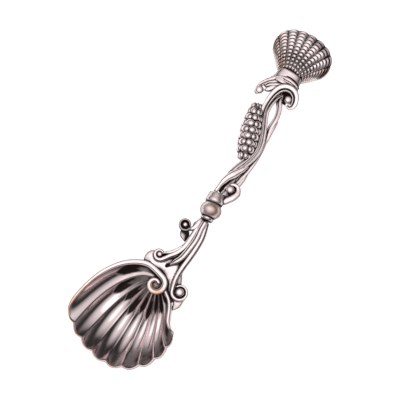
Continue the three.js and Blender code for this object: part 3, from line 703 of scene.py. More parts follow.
def bowl_painted_reflection(across, out):
    """Painted dark reflection in the bowl: a black streak in each flute by the coil, and grey flutes in
    front and on the right.
    """
    valley = mix(RIDGE_REFLECTION_DARKNESS, 1.0, smooth(FLUTE_FULLNESS * flute(across)))
    front = rise(out, *FRONT_OUT) * rise(across, *FRONT_ACROSS)
    wall = rise(across, *RIGHT_WALL)
    return STREAK_REFLECTION_DARKNESS * bowl_dark_reflection_streak(across, out) + FLUTE_REFLECTION_DARKNESS * valley * max(front, wall)


class SPOON_OT_bowl(bpy.types.Operator):
    """Adds the fluted bowl with its rounded lip"""

    bl_idname = "spoon.bowl"
    bl_label = "Bowl"

    def execute(self, context):
        bowl = context.scene.spoon_bowl
        columns = bowl.flutes * FLUTE_COLUMNS

        def inner(across, out):
            return bowl_face(across, out, bowl.flute_depth, 0.0)

        def outer(across, out):
            dip = bowl_dip(across, out)
            thickness = mix(bowl.rim_wall, bowl.wall + bowl.flat_depth, dip)
            point = bowl_face(across, out, bowl.back_flute_depth, thickness)
            flat = bowl_normal(across, out).xy.length
            level = (1.0 - dip) ** LEVEL_POWER * min(1.0, flat / LEVEL_SLOPE)
            point.z = max(0.0, mix(point.z, bowl_inner(across, out).z, level))
            return point

        shape = bmesh.new()
        # The bowl's inner face carries painted dark reflection: black streaks by the coil, grey flutes in
        # front and on the right
        warped_sheet(shape, columns, BOWL_ROWS, inner, soot=bowl_painted_reflection, rub=lambda across, out: 0.0,
                     across=lambda across, out: across, out=lambda across, out: out)
        share_across, share_out, soot, rub = (shape.verts.layers.float[name]
                                              for name in ("across", "out", "soot", "rub"))
        lip = [edge for edge in shape.edges if edge.is_boundary]
        for step in range(1, LIP_STEPS + 1):
            turn = math.pi * step / LIP_STEPS
            made = bmesh.ops.extrude_edge_only(shape, edges=lip)["geom"]
            lip = [item for item in made if isinstance(item, bmesh.types.BMEdge)]
            for corner in (item for item in made if isinstance(item, bmesh.types.BMVert)):
                place = corner[share_across], corner[share_out]
                corner.co = inner(*place).lerp(outer(*place), 0.5 - 0.5 * math.cos(turn))
                corner.co.z += 0.5 * bowl.rim_wall * math.sin(turn)
                corner[soot] = 0.0
                corner[rub] = mix(LIP_RUB_LEFT, LIP_RUB_RIGHT, corner[share_across])
        if not lip:
            raise RuntimeError("the bowl has no lip")
        warped_sheet(shape, columns, BOWL_ROWS, outer, soot=lambda across, out: BACK_SOOT)
        keep("bowl_wall", shape, "antique_silver", "bowl")
        return {"FINISHED"}


# Where the roll passes: across the rim at its start, then in along the left edge towards the hinge
ROLL_ACROSS = (0.05, 0.02)
ROLL_OUT = (0.97, 0.8, 0.6, 0.42, 0.28, 0.18)

# Where the roll is rubbed to copper: a soft spot on the coil, and the lower end of the left edge
COIL_RUB = 0.55
COIL_RUB_PLACE = 0.845
COIL_RUB_WIDTH = 0.07
EDGE_RUB = 0.5
EDGE_RUB_END = (0.45, 0.3)


class SPOON_OT_rolled_edge(bpy.types.Operator):
    """Adds the rolled left edge, which rises on to the hinge and ends in a coil"""

    bl_idname = "spoon.rolled_edge"
    bl_label = "Rolled edge"

    def execute(self, context):
        bowl = context.scene.spoon_bowl
        points = [bowl_inner(across, 1.0) for across in ROLL_ACROSS]
        for out in ROLL_OUT:
            points.append(bowl_inner(0.0, out, False) + UP * bowl.roll_depth / 3.0)
        eye = hinge() - Vector((bowl.coil_shift, 0.0, 0.0))
        coil = spiral(eye, bowl.coil_radius, bowl.coil_eye, start=-5, turn=-420, points=18)
        # The coil climbs over its first half
        for index, point in enumerate(coil):
            point.z = bowl.hinge_height + bowl.coil_rise * min(1.0, 2.0 * index / len(coil))

        def rubbed(t):
            spot = math.exp(-((t - COIL_RUB_PLACE) / COIL_RUB_WIDTH) ** 2)
            return COIL_RUB * spot + EDGE_RUB * fall(t, *EDGE_RUB_END)

        shape = strand(points + coil, bowl.roll_breadth, bowl.roll_depth,
                       [0.35, 0.65, 0.72, 0.8, 0.92, 1.0, 1.08, 0.98, 0.6],
                       grooves([128], depth=0.18, width=12), steps=320, sides=48, rubbed=rubbed)
        bmesh.ops.create_cone(shape, cap_ends=True, segments=48, radius1=bowl.plug_radius,
                              radius2=bowl.plug_radius, depth=bowl.plug_depth,
                              matrix=Matrix.Translation(eye - UP * bowl.plug_drop))
        keep("rolled_edge_coil", shape, "rubbed_copper", "rolled_edge")
        return {"FINISHED"}


# How the seat under the coil runs on from its end, down the bowl's right edge
SEAT_TAIL = (Vector((-1.0, -1.6, 0.0)) * MM, Vector((-2.4, -3.4, 0.0)) * MM)


class SPOON_OT_stem(bpy.types.Operator):
    """Adds the shoulder, the three reeds of the stem, their scrolls and the side leaf"""

    bl_idname = "spoon.stem"
    bl_label = "Stem"

    def execute(self, context):
        bowl, stem, _, _ = sizes()
        left_eye = on_stem(0.32, 0.5)
        right_eye = on_stem(0.052, -0.975)
        side_eye = on_stem(0.812, 0.29)

        path = stem_path((0.145, 0.89, -0.5), (0.215, 0.75, -0.5), (0.262, 0.44, -0.5),
                         (0.277, -0.06, -0.5), (0.17, -0.49, -0.5), (0.066, -0.72, -0.5),
                         (0.01, -1.02, -0.5), (-0.107, -1.12, -0.4), (-0.189, -1.05, -0.3))
        shape = strand(path, bowl.shoulder_breadth, bowl.shoulder_depth,
                       [0.3, 0.8, 0.85, 0.95, 0.8, 0.65, 0.8, 0.45, 0.15], steps=140, sides=48)
        seat = spiral(hinge() - UP * bowl.seat_drop, bowl.seat_radius, bowl.seat_radius, start=40,
                      turn=-135, points=10)
        seat += [seat[-1] + way for way in SEAT_TAIL]
        strand(seat, bowl.seat_breadth, bowl.seat_depth, [0.4, 1, 1, 1, 1, 0.5], into=shape)
        keep("shoulder_crescent", shape, "antique_silver", "shoulder")

        path = stem_path((0.265, -0.02), (0.34, -0.17), (0.425, -0.3), (0.585, -0.37), (0.73, -0.385),
                         (0.88, -0.32), (1.0, STEM_END_ASIDE))
        shape = strand(path, stem.core_breadth, stem.core_depth, [0.3, 0.85, 1, 1, 1, 0.95, 1.0],
                       grooves([68], depth=0.2, width=12), sides=48)
        # The web behind the reeds is darkened as oxide and painted shade
        web = stem_path((0.29, -0.15, -0.5), (0.42, -0.3, -0.5), (0.58, -0.38, -0.5),
                        (0.75, -0.37, -0.45), (0.97, -0.29, -0.35))
        strand(web, stem.web_breadth, stem.web_depth, [0.9, 1, 0.85, 0.8, 0.7], into=shape, soot=WEB_OXIDE_AND_SHADE)
        # The black curl at the middle reed's foot is oxide and painted shade
        curl = stem_path((0.285, 0.03, 0.25), (0.265, -0.045, 0.3), (0.252, 0.0, 0.25),
                         (0.243, 0.05, 0.2), (0.228, 0.0, 0.1))
        strand(curl, stem.curl_breadth, stem.curl_depth, [0.5, 1, 1, 1, 0.5], into=shape, soot=BLACK)
        keep("stem_core_reed", shape, "antique_silver", "stem_core")

        path = stem_path((0.98, -0.17), (0.86, -0.19), (0.727, -0.2), (0.573, -0.18), (0.456, -0.06),
                         (0.375, 0.12))
        path += spiral(left_eye, stem.left_scroll, stem.left_scroll_end, start=250, turn=-300, points=9)
        shape = strand(path, stem.reed_breadth, stem.reed_depth, [0.8, 0.95, 1, 1, 0.8, 0.62, 0.42],
                       grooves([48], depth=0.25, width=14), steps=180, sides=48)
        ridge = stem_path((0.345, 0.43, 0.1), (0.37, 0.35, 0.15), (0.427, 0.14, 0.15),
                          (0.522, -0.04, 0.1), (0.642, -0.15, 0.0), (0.75, -0.19, -0.1))
        strand(ridge, stem.ridge_breadth, stem.ridge_depth, [0.5, 1, 1, 0.9, 0.7, 0.4], into=shape)
        # The dark valley beside the left reed is oxide and painted shade
        valley = stem_path((0.36, 0.26, -0.3), (0.42, 0.07, -0.3), (0.52, -0.1, -0.3))
        strand(valley, stem.valley_breadth, stem.bed_depth, [0.8, 1, 0.6], into=shape, soot=WEB_OXIDE_AND_SHADE)
        keep("stem_left_scroll", shape, "antique_silver", "stem_left_reed")

        path = stem_path((0.985, -0.38), (0.9, -0.46), (0.764, -0.56), (0.594, -0.585), (0.446, -0.565),
                         (0.297, -0.54), (0.17, -0.56))
        path += spiral(right_eye, stem.right_scroll, stem.right_scroll_end, start=95, turn=335, points=12)
        shape = strand(path, stem.reed_breadth, stem.reed_depth, [0.8, 0.95, 1, 1, 0.85, 0.65, 0.55, 0.4],
                       grooves([50], depth=0.28, width=17), steps=200, sides=48)
        keep("stem_right_scroll", shape, "antique_silver", "stem_right_reed")

        tail = stem_path((1.0, -0.14), (0.935, -0.12), (0.86, -0.1), (0.815, -0.02))
        ring = spiral(side_eye, stem.side_scroll, stem.side_scroll_end, start=-110, turn=-330, points=14)
        shape = strand(tail + ring[:2], stem.reed_breadth, stem.reed_depth, [0.6, 1.0, 1.05, 0.7, 0.4])
        strand([tail[-1], *ring], stem.side_ring, stem.reed_depth, [0.9, 1, 1, 0.9, 0.8], into=shape,
               soot=RING_SOOT)
        # The bed inside the ring and the web behind the small scroll are darkened as oxide and painted shade
        bed = [side_eye + Vector((share * stem.side_bed / 2.0, 0.0, -stem.side_bed_drop))
               for share in (-1.0, 0.0, 1.0)]
        strand(bed, stem.side_bed, stem.bed_depth, [0.6, 1, 0.6], into=shape, soot=BED_OXIDE_AND_SHADE, rounding=0.3)
        web = stem_path((0.97, -0.15, -0.4), (0.9, -0.1, -0.4), (0.8, -0.08, -0.4))
        strand(web, stem.side_web, stem.bed_depth, [0.8, 1, 0.4], into=shape, soot=SIDE_WEB_OXIDE_AND_SHADE)
        keep("side_scroll_curl", shape, "antique_silver", "side_scroll")

        path = stem_path((0.78, 0.24, -0.4), (0.71, 0.12, -0.5), (0.63, -0.06, -0.5))
        shape = strand(path, stem.leaf_breadth, stem.leaf_depth, [0.9, 1, 0.3],
                       grooves([70], depth=0.15, width=20), soot=FLAP_SOOT)
        keep("side_leaf_flap", shape, "antique_silver", "side_leaf")

        keep_pearl("left_scroll_pearl", left_eye, stem.left_pearl, "left_pearl")
        keep_pearl("right_scroll_pearl", right_eye, stem.right_pearl, "right_pearl")
        keep_pearl("side_scroll_pearl", side_eye, stem.side_pearl, "side_pearl")
        return {"FINISHED"}


# The turned pieces

TURNED_SIDES = 72
BULGE_POWER = 0.7
RING_END = 0.4

# The collar's outline: the share of its length, how far its radius has gone from low to high there, and
# a factor that rounds its ends
COLLAR_FOOT = 0.9
COLLAR_OUTLINE = ((0.04, 0.0, 0.97), (0.14, 0.0, 1.0), (0.3, 0.15, 1.0), (0.5, 0.45, 1.0), (0.7, 0.8, 1.0),
                  (0.86, 1.0, 1.0), (0.96, 1.0, 0.96), (1.0, 1.0, 0.85))


def turned(outline, start):
    """A turned piece on the knop's axis from places along it and radii, spun all the way round."""
    shape = bmesh.new()
    corners = [shape.verts.new((radius, 0.0, along)) for along, radius in outline]
    for pair in zip(corners, corners[1:]):
        shape.edges.new(pair)
    bmesh.ops.spin(shape, geom=shape.verts[:] + shape.edges[:], cent=(0, 0, 0), axis=UP, angle=TURN,
                   steps=TURNED_SIDES, use_merge=True)
    axis = knop_direction()
    turn = UP.rotation_difference(axis).to_matrix()
    bmesh.ops.transform(shape, matrix=turn.to_4x4(), verts=shape.verts)
    bmesh.ops.translate(shape, vec=stem_end() + axis * start, verts=shape.verts)
    return shape


def round_outline(run, end_radius, mid_radius, steps):
    """The outline of a bulging piece: its length, its radius at both ends and in its middle."""
    outline = [(0.0, 0.0)]
    for index in range(steps + 1):
        bulge = math.sin(math.pi * index / steps) ** BULGE_POWER
        outline.append((run * index / steps, mix(end_radius, mid_radius, bulge)))
    return [*outline, (run, 0.0)]


class SPOON_OT_knop(bpy.types.Operator):
    """Adds the turned ring, knop and collar"""

    bl_idname = "spoon.knop"
    bl_label = "Knop"

    def execute(self, context):
        _, stem, _, finial = sizes()
        knop_start = stem.ring_length + finial.gap
        ring = round_outline(knop_start, stem.ring_diameter * RING_END, stem.ring_diameter / 2.0, 14)
        keep("knop_ring_turned", turned(ring, 0.0), "antique_silver", "knop_ring")
        knop = round_outline(stem.knop_length, stem.ring_diameter / 2.0, stem.knop_diameter / 2.0, 40)
        keep("knop_bead_turned", turned(knop, knop_start), "rubbed_copper", "knop_bead")
        low = stem.collar_diameter / 2.0
        high = stem.collar_top / 2.0
        collar = [(-finial.gap, 0.0), (-finial.gap, low * COLLAR_FOOT)]
        for along, change, share in COLLAR_OUTLINE:
            collar.append((along * stem.collar_length, mix(low, high, change) * share))
        collar.append((stem.collar_length, 0.0))
        collar_start = knop_start + stem.knop_length + finial.gap
        keep("collar_turned", turned(collar, collar_start), "antique_silver", "collar")
        return {"FINISHED"}


# The vine twist

VINE_SQUARENESS = 0.45
ARCH_LINE = (0.42, 0.125)
THIN_REEDS = {
    "rear_reed_left": ((0.06, -0.1, -0.25), (0.12, -0.2, -0.25), (0.2, -0.24, -0.3)),
    "rear_reed_right": ((0.09, -0.44, -0.3), (0.16, -0.51, -0.35), (0.26, -0.56, -0.45)),
    "eye_reed": ((0.52, -0.5, -0.35), (0.62, -0.42, -0.3), (0.74, -0.4, -0.3)),
}


class SPOON_OT_vine(bpy.types.Operator):
    """Adds the strands of the vine twist, the collar scroll and the arch with its pearls"""

    bl_idname = "spoon.vine"
    bl_label = "Vine"

    def execute(self, context):
        _, _, vine, finial = sizes()
        start = -finial.gap / vine.length
        line = grooves([88], depth=0.25, width=8)

        path = vine_path((-0.045, -0.36, 0.2), (-0.005, -0.47, 0.4), (0.035, -0.6, 0.5), (0.085, -0.66, 0.5),
                         (0.124, -0.53, 0.5), (0.124, -0.35, 0.5), (0.104, -0.21, 0.5))
        shape = strand(path, vine.scroll_breadth, vine.scroll_depth, [0.8, 1, 1, 0.95, 0.75, 0.6, 0.4])
        web = vine_path((-0.01, -0.3, -0.2), (0.05, -0.4, -0.2), (0.115, -0.4, -0.2))
        strand(web, vine.scroll_web, vine.bed_depth, [0.8, 1, 0.7], into=shape, soot=FAINT_SOOT)
        keep("collar_scroll_curl", shape, "antique_silver", "collar_scroll")
        keep_pearl("collar_scroll_pearl", on_vine(0.077, -0.33, 0.5), vine.collar_pearl, "collar_pearl")

        path = vine_path((start, 0.125, 0.2), (0.068, 0.12, 0.35), (0.138, 0.04, 0.45), (0.2, -0.12, 0.45),
                         (0.256, -0.28, 0.45), (0.312, -0.42, 0.4))
        shape = strand(path, vine.leaf_breadth, vine.leaf_depth, [0.45, 0.5, 0.8, 1, 0.7, 0.3],
                       grooves([66, 114], depth=0.22, width=9), sides=64, squareness=VINE_SQUARENESS)
        keep("leaf_ribbon_crossing", shape, "antique_silver", "leaf_ribbon")

        path = vine_path((0.176, 0.11, 0.35), (0.249, -0.02, 0.4), (0.316, -0.14, 0.4), (0.386, -0.24, 0.4),
                         (0.44, -0.27, 0.4), (0.517, -0.19, 0.35), (0.626, 0.04, 0.3), (0.71, 0.26, 0.25),
                         (0.767, 0.345, 0.3), (0.831, 0.37, 0.4), (0.9, 0.335, 0.6), (0.957, 0.225, 0.8),
                         (0.99, 0.02, 0.95), (0.994, -0.24, 0.95), (0.97, -0.455, 0.8),
                         (0.927, -0.575, 0.6), (0.884, -0.57, 0.5), (0.868, -0.48, 0.5),
                         (0.878, -0.36, 0.5))
        bold = grooves([108], depth=0.4, width=14)
        shape = strand(path, vine.reed_breadth, vine.reed_depth,
                       [0.4, 0.8, 0.85, 0.85, 0.75, 0.75, 0.9, 1.0, 1.15, 1.3, 1.35, 1.15, 0.5],
                       lambda t, way: mix(line(t, way), bold(t, way), rise(t, *ARCH_LINE)),
                       steps=280, sides=64, squareness=VINE_SQUARENESS)
        keep("outer_vine_arch", shape, "antique_silver", "outer_vine")
        keep_pearl("arch_scroll_pearl", on_vine(0.919, -0.29, 0.6), vine.arch_pearl, "arch_pearl")

        path = vine_path((0.232, -0.19, 0.35), (0.304, -0.31, 0.35), (0.377, -0.41, 0.35),
                         (0.444, -0.44, 0.35), (0.522, -0.36, 0.3), (0.628, -0.13, 0.25), (0.71, 0.085, 0.2),
                         (0.752, 0.17, 0.2), (0.8225, 0.2, 0.2), (0.89, 0.14, 0.2), (0.935, -0.01, 0.2))
        shape = strand(path, vine.reed_breadth, vine.reed_depth,
                       [0.35, 0.75, 0.8, 0.8, 0.8, 0.8, 0.9, 0.8, 0.3], line, steps=200, sides=48,
                       squareness=VINE_SQUARENESS)
        keep("inner_vine_strand", shape, "antique_silver", "inner_vine")

        path = vine_path((start, -0.12, -0.4), (0.075, -0.24, -0.5), (0.147, -0.37, -0.55),
                         (0.232, -0.43, -0.55), (0.307, -0.47, -0.55), (0.391, -0.48, -0.5),
                         (0.478, -0.455, -0.5), (0.553, -0.39, -0.45), (0.668, -0.3, -0.35),
                         (0.751, -0.285, -0.3), (0.831, -0.165, -0.45), (0.889, 0.03, -0.6),
                         (0.95, 0.1, -0.65))
        shape = strand(path, vine.rear_breadth, vine.rear_depth,
                       [0.7, 1, 1, 1, 1, 0.9, 0.85, 0.85, 0.9, 0.8], grooves([80], depth=0.25, width=8),
                       steps=260, sides=48, squareness=VINE_SQUARENESS)
        # The webs under the crossing leaf and inside the arch are darkened as oxide and painted shade
        web = vine_path((0.02, -0.02, -0.6), (0.1, -0.14, -0.75), (0.2, -0.3, -0.75), (0.3, -0.4, -0.7))
        strand(web, vine.rear_web, vine.bed_depth, [0.7, 1, 1, 0.5], into=shape, soot=WEB_OXIDE_AND_SHADE)
        web = vine_path((0.875, 0.15, -0.75), (0.925, 0.0, -0.8), (0.95, -0.22, -0.8), (0.925, -0.5, -0.7))
        strand(web, vine.arch_web, vine.bed_depth, [0.5, 1, 1, 0.6], into=shape, soot=BLACK)
        keep("rear_vine_strand", shape, "antique_silver", "rear_vine")

        for node, places in THIN_REEDS.items():
            shape = strand(vine_path(*places), vine.thin_breadth, vine.thin_depth, [0.4, 1, 1, 0.4],
                           steps=80, sides=20)
            keep(f"{node}_strand", shape, "antique_silver", node)
        return {"FINISHED"}


COB_BASE = (0.338, -0.1)
# A kernel's half breadth and half length, as shares of the room it has, and how deep it is set
KERNEL_BREADTH = 0.57
KERNEL_LENGTH = 0.62
KERNEL_SEAT = 0.1


class SPOON_OT_cob(bpy.types.Operator):
    """Adds the cob: a swelling core with its kernels in staggered rows"""

    bl_idname = "spoon.cob"
    bl_label = "Cob"

    def execute(self, context):
        _, _, vine, finial = sizes()
        base = on_vine(*COB_BASE)
        run = vine.cob_length * math.cos(vine.cob_lean)
        drop = (finial.neck_height - collar_end().z) * run / vine.length
        tip = base + Vector((run, vine.cob_length * math.sin(vine.cob_lean), drop))
        taper = [0.5, 0.88, 1, 0.97, 0.76, 0.35]
        shape = strand([base, base.lerp(tip, 0.5), tip], vine.cob_diameter, vine.cob_diameter, taper,
                       steps=60, sides=32, squareness=1.0, soot=COB_SOOT)
        axis = (tip - base).normalized()
        side = UP.cross(axis).normalized()
        lift = axis.cross(side)
        long = vine.cob_length / vine.kernel_rows * KERNEL_LENGTH
        for row in range(vine.kernel_rows):
            t = (row + 0.5) / vine.kernel_rows
            radius = vine.cob_diameter / 2.0 * value_at(taper, t)
            breadth = TURN * radius / vine.kernel_columns * KERNEL_BREADTH
            for column in range(vine.kernel_columns):
                way = TURN * (column + 0.5 * (row % 2)) / vine.kernel_columns
                out = side * math.cos(way) + lift * math.sin(way)
                across = axis.cross(out)
                basis = Matrix((axis * long, across * breadth, out * vine.kernel_height)).transposed()
                seat = base.lerp(tip, t) + out * (radius - KERNEL_SEAT * vine.kernel_height)
                bmesh.ops.create_icosphere(shape, subdivisions=2, radius=1.0,
                                           matrix=Matrix.Translation(seat) @ basis.to_4x4())
        keep("cob_kernels", shape, "antique_silver", "cob")
        return {"FINISHED"}


NECK_WAIST = 0.8


class SPOON_OT_crest(bpy.types.Operator):
    """Adds the crest leaf beside the arch, its pearl and the neck"""

    bl_idname = "spoon.crest"
    bl_label = "Crest and neck"

    def execute(self, context):
        _, _, vine, finial = sizes()
        hook = vine_path((1.01, -0.42, 0.6), (1.036, -0.25, 0.85), (1.046, 0.0, 0.9), (1.046, 0.2, 0.8),
                         (1.04, 0.4, 0.5), (1.022, 0.54, 0.35), (0.99, 0.71, 0.25), (0.946, 0.9, 0.25),
                         (0.906, 1.005, 0.2), (0.866, 1.03, 0.2), (0.838, 0.97, 0.2), (0.845, 0.87, 0.2))
        shape = strand(hook, vine.crest_breadth, vine.crest_depth,
                       [0.3, 0.6, 0.75, 0.9, 1, 1.05, 1, 0.9, 0.75, 0.6, 0.5, 0.4],
                       grooves([74], depth=0.3, width=11))
        middle = vine_path((1.025, 0.05, 0.7), (1.008, 0.25, 0.55), (0.985, 0.48, 0.25), (0.952, 0.71, 0.2),
                           (0.915, 0.83, 0.2))
        strand(middle, vine.crest_breadth, vine.crest_depth, [0.4, 0.85, 1.05, 0.95, 0.5],
               grooves([96], depth=0.3, width=11), into=shape)
        low = vine_path((0.965, 0.3, 0.1), (0.95, 0.46, 0.15), (0.917, 0.61, 0.15), (0.888, 0.74, 0.1))
        strand(low, vine.crest_breadth, vine.crest_depth, [0.9, 1.0, 0.85, 0.4], into=shape)
        # The bed behind the crest leaf and the black line between crest and neck are oxide and painted shade
        bed = vine_path((1.005, 0.3, -0.25), (0.975, 0.5, -0.25), (0.935, 0.74, -0.25))
        strand(bed, vine.crest_bed, vine.bed_depth, [0.8, 1, 0.5], into=shape, soot=WEB_OXIDE_AND_SHADE)
        line = vine_path((1.034, -0.42, 0.8), (1.06, -0.22, 1.0), (1.069, 0.02, 1.02), (1.07, 0.22, 0.98),
                         (1.063, 0.42, 0.75))
        strand(line, vine.crest_line, vine.crest_line_depth, [0.6, 1, 1, 1, 0.6], into=shape, soot=BLACK)
        keep("crest_leaf_lobes", shape, "antique_silver", "crest_leaf")
        keep_pearl("crest_scroll_pearl", on_vine(0.868, 0.906, 0.3), vine.crest_pearl, "crest_pearl")

        foot = neck_foot()
        top = foot + Vector((finial.neck_length, 0.0, 0.0))
        shape = strand([foot, foot.lerp(top, 0.5), top], finial.neck_low, finial.neck_depth,
                       [1, NECK_WAIST, finial.neck_high / finial.neck_low], steps=60, sides=64,
                       squareness=1.0, rounding=0.12, soot=FAINT_SOOT)
        keep("neck_bell", shape, "antique_silver", "neck")
        return {"FINISHED"}


# The shell finial. A rib is crossed by rows: round beads near the neck, roof tiles further out, each of
# which rises slowly and drops quickly

RIB_POWER = 0.5
CORNER_POWER = 4
ROOT_RELIEF = 0.5
RELIEF_GROWTH = 2.0
DOME_SIDE = 0.9
DOME_SIDE_POWER = 0.6
DOME_OUT = (0.18, 0.95)
DOME_OUT_POWER = 0.8
TILE_RISE = 0.75
TILE_RISE_POWER = 0.7
TILE_DROP = 0.2
TILE_DROP_POWER = 0.6
TILE_GAIN = 1.5
BEAD_POWER = 0.55
TILES_BEGIN = (0.3, 0.35)
ROW_FLOOR = 0.15
RIB_COLUMNS = 14
RING_ROWS = 15

# Oxide and painted shade towards the edge, more of it on the right and less on the steep rim, and copper on
# both flanks
EDGE_OUT = (0.7, 0.2)
EDGE_ACROSS = (0.3, 0.3)
EDGE_OXIDE_AND_SHADE_LEFT = 0.08
EDGE_OXIDE_AND_SHADE_RIGHT = 0.34
RIM_LESS_SHADE = -0.3
FLANK_RUB = 0.6
LEFT_FLANK = (0.24, 0.1)
RIGHT_FLANK = (0.86, 0.08)


def row_height(out):
    """Height of the beads or tiles along a rib, as a share."""
    finial = bpy.context.scene.spoon_finial
    step = finial.rings * out % 1.0
    rising = min(1.0, step / TILE_RISE) ** TILE_RISE_POWER
    dropping = min(1.0, (1.0 - step) / TILE_DROP) ** TILE_DROP_POWER
    tile = mix(1.0, TILE_GAIN, out) * (rising * dropping)
    round_bead = math.sin(math.pi * step) ** BEAD_POWER
    return mix(ROW_FLOOR, 1.0, mix(round_bead, tile, rise(out, *TILES_BEGIN)))


def shell_face(across, out, swell, ringed):
    """A place on a valve of the finial, as shares of the fan and of the way out."""
    _, _, _, finial = sizes()
    u = 2.0 * across - 1.0
    way = finial.shell_turn - finial.half_angle * u
    rib = abs(math.sin(math.pi * finial.ribs * across)) ** RIB_POWER
    reach = finial.shell_length - finial.corner * u ** CORNER_POWER + 0.5 * finial.rib_height * rib
    radius = mix(finial.shell_root, reach, out)
    dome = (1.0 - DOME_SIDE * u * u) ** DOME_SIDE_POWER
    dome *= math.sin(math.pi * mix(*DOME_OUT, out)) ** DOME_OUT_POWER
    row = row_height(out) if ringed else 1.0
    relief = finial.rib_height * rib * row * min(1.0, ROOT_RELIEF + RELIEF_GROWTH * out)
    height = finial.gap / 2.0 + finial.lip + abs(swell) * dome + relief
    foot = neck_foot()
    x = foot.x + finial.neck_length - finial.gap - finial.shell_root + math.cos(way) * radius
    y = foot.y + finial.shell_side + math.sin(way) * radius
    return Vector((x, y, max(0.0, finial.back_drop + math.copysign(height, swell))))


def shell_oxide_and_shade(across, out):
    """Oxide and painted shade on a valve: darker towards the edge, more so on the right."""
    return rise(out, *EDGE_OUT) * mix(EDGE_OXIDE_AND_SHADE_LEFT, EDGE_OXIDE_AND_SHADE_RIGHT, rise(across, *EDGE_ACROSS))


def shell_rub(across, _out):
    """Rubbed copper on a valve."""
    return FLANK_RUB * (fall(across, *LEFT_FLANK) + rise(across, *RIGHT_FLANK))


class SPOON_OT_finial(bpy.types.Operator):
    """Adds the two valves of the shell finial"""

    bl_idname = "spoon.finial"
    bl_label = "Finial"

    def execute(self, context):
        finial = context.scene.spoon_finial
        for name, node, swell, ringed in (("shell_front_valve", "shell_front", finial.front_rise, True),
                                          ("shell_back_valve", "shell_back", -finial.back_drop, False)):
            shape = bmesh.new()
            warped_sheet(shape, finial.ribs * RIB_COLUMNS, finial.rings * RING_ROWS,
                         lambda across, out: shell_face(across, out, swell, ringed),
                         soot=shell_oxide_and_shade, rub=shell_rub)
            soot = shape.verts.layers.float["soot"]
            rim = [edge for edge in shape.edges if edge.is_boundary]
            made = bmesh.ops.extrude_edge_only(shape, edges=rim)["geom"]
            for corner in (item for item in made if isinstance(item, bmesh.types.BMVert)):
                corner.co.z = finial.back_drop
                # The steep rim is given less of the painted shade
                corner[soot] = RIM_LESS_SHADE
            foot = [item for item in made if isinstance(item, bmesh.types.BMEdge)]
            if not foot:
                raise RuntimeError(f"{name} has no rim")
            bmesh.ops.edgeloop_fill(shape, edges=foot)
            keep(name, shape, "antique_silver", node)
        return {"FINISHED"}


# The finish

# Patches that the polisher's wheel left, and pits and brush marks of the casting
PATCH_SIZE = 3.846 * MM
PATCH_DETAIL = 3.0
GRAIN_SIZE = 0.5556 * MM
GRAIN_DETAIL = 4.0
GRAIN_LOW = 0.3
GRAIN_HIGH = 0.7
NOISE_ROUGHNESS = 0.6
GRAIN_DEPTH = 0.03 * MM
GRAIN_STRENGTH = 0.12
# How level a face is, from 0 to 1, where the oxide and painted shade of steep faces begin and where they are
# full
LEVEL_UNSHADED = 0.9
LEVEL_FULLY_SHADED = 0.35
# Where the oxide and painted shade start to show, and how softly they and copper set in
DARKENING_START = 0.25
DARKENING_RUN = 0.45
COPPER_START = 0.9
COPPER_RUN = 0.35
COPPER_PATCHES = 0.9
DARKENED_ROUGHNESS = 0.6
DARKENED_METAL = 0.1
SHINIER = -0.05
DULLER = 0.07
SPECULAR = 0.2

# Finishes by the piece, kind of piece or slot that wears them: the casting's name and its metal, then the
# share of copper, the oxide and painted shade on steep sides, the oxide in recesses, the roughness and the
# mottle
FINISHES = {
    # Bright all over, with hardly any oxide
    "pearl": ("cast_zinc_alloy_pearls", "silver", -0.35, 0.2, 0.15, 0.26, 0.3),
    # Bright ridges, and black in every recess
    "antique_silver": ("cast_zinc_alloy_relieved", "silver", -0.3, 0.5, 1.7, 0.26, 0.3),
    # Copper that breaks through along the roll
    "rubbed_copper": ("cast_zinc_alloy_copper_rubbed", "silver", 0.1, 0.6, 1.5, 0.3, 0.3),
    # The clearest mirror, which is dark where the room is dark
    "bowl_wall": ("cast_zinc_alloy_polished", "steel", 0.0, 0.2, 1.2, 0.13, 0.5),
    # Glossy strands with black seams
    "vine": ("cast_zinc_alloy_twisted", "silver", -0.3, 0.35, 1.9, 0.22, 0.3),
    # A warm copper blush on a satin ball
    "knop_bead_turned": ("cast_zinc_alloy_turned", "silver", 0.48, 0.5, 1.0, 0.4, 0.3),
    # Grey blotches on a satin band
    "collar_turned": ("cast_zinc_alloy_mottled", "silver", -0.3, 0.5, 1.2, 0.36, 0.9),
    # Bright grains over dark joints
    "cob_kernels": ("cast_zinc_alloy_kernels", "silver", -0.1, 0.3, 1.1, 0.24, 0.3),
    # Bright tiles with black between their rows
    "shell_front_valve": ("cast_zinc_alloy_ribbed", "silver", -0.15, 0.4, 2.0, 0.26, 0.3),
}
VINES = ("leaf_ribbon_crossing", "outer_vine_arch", "inner_vine_strand", "rear_vine_strand")


def empty_tree(owner):
    """Switches on the nodes of a material or world, and returns its emptied tree."""
    owner.use_nodes = True
    owner.node_tree.nodes.clear()
    return owner.node_tree


def add_node(tree, kind, settings=None, **links):
    """Adds a node, gives its sockets, by number as i0 or by name, values or links, and returns it."""
    node = tree.nodes.new(kind)
    for key, value in (settings or {}).items():
        setattr(node, key, value)
    for key, value in links.items():
        numbered = key[0] == "i" and key[1:].isdigit()
        socket = node.inputs[int(key[1:]) if numbered else key.replace("_", " ")]
        if isinstance(value, bpy.types.NodeSocket):
            tree.links.new(value, socket)
        else:
            socket.default_value = value
    return node


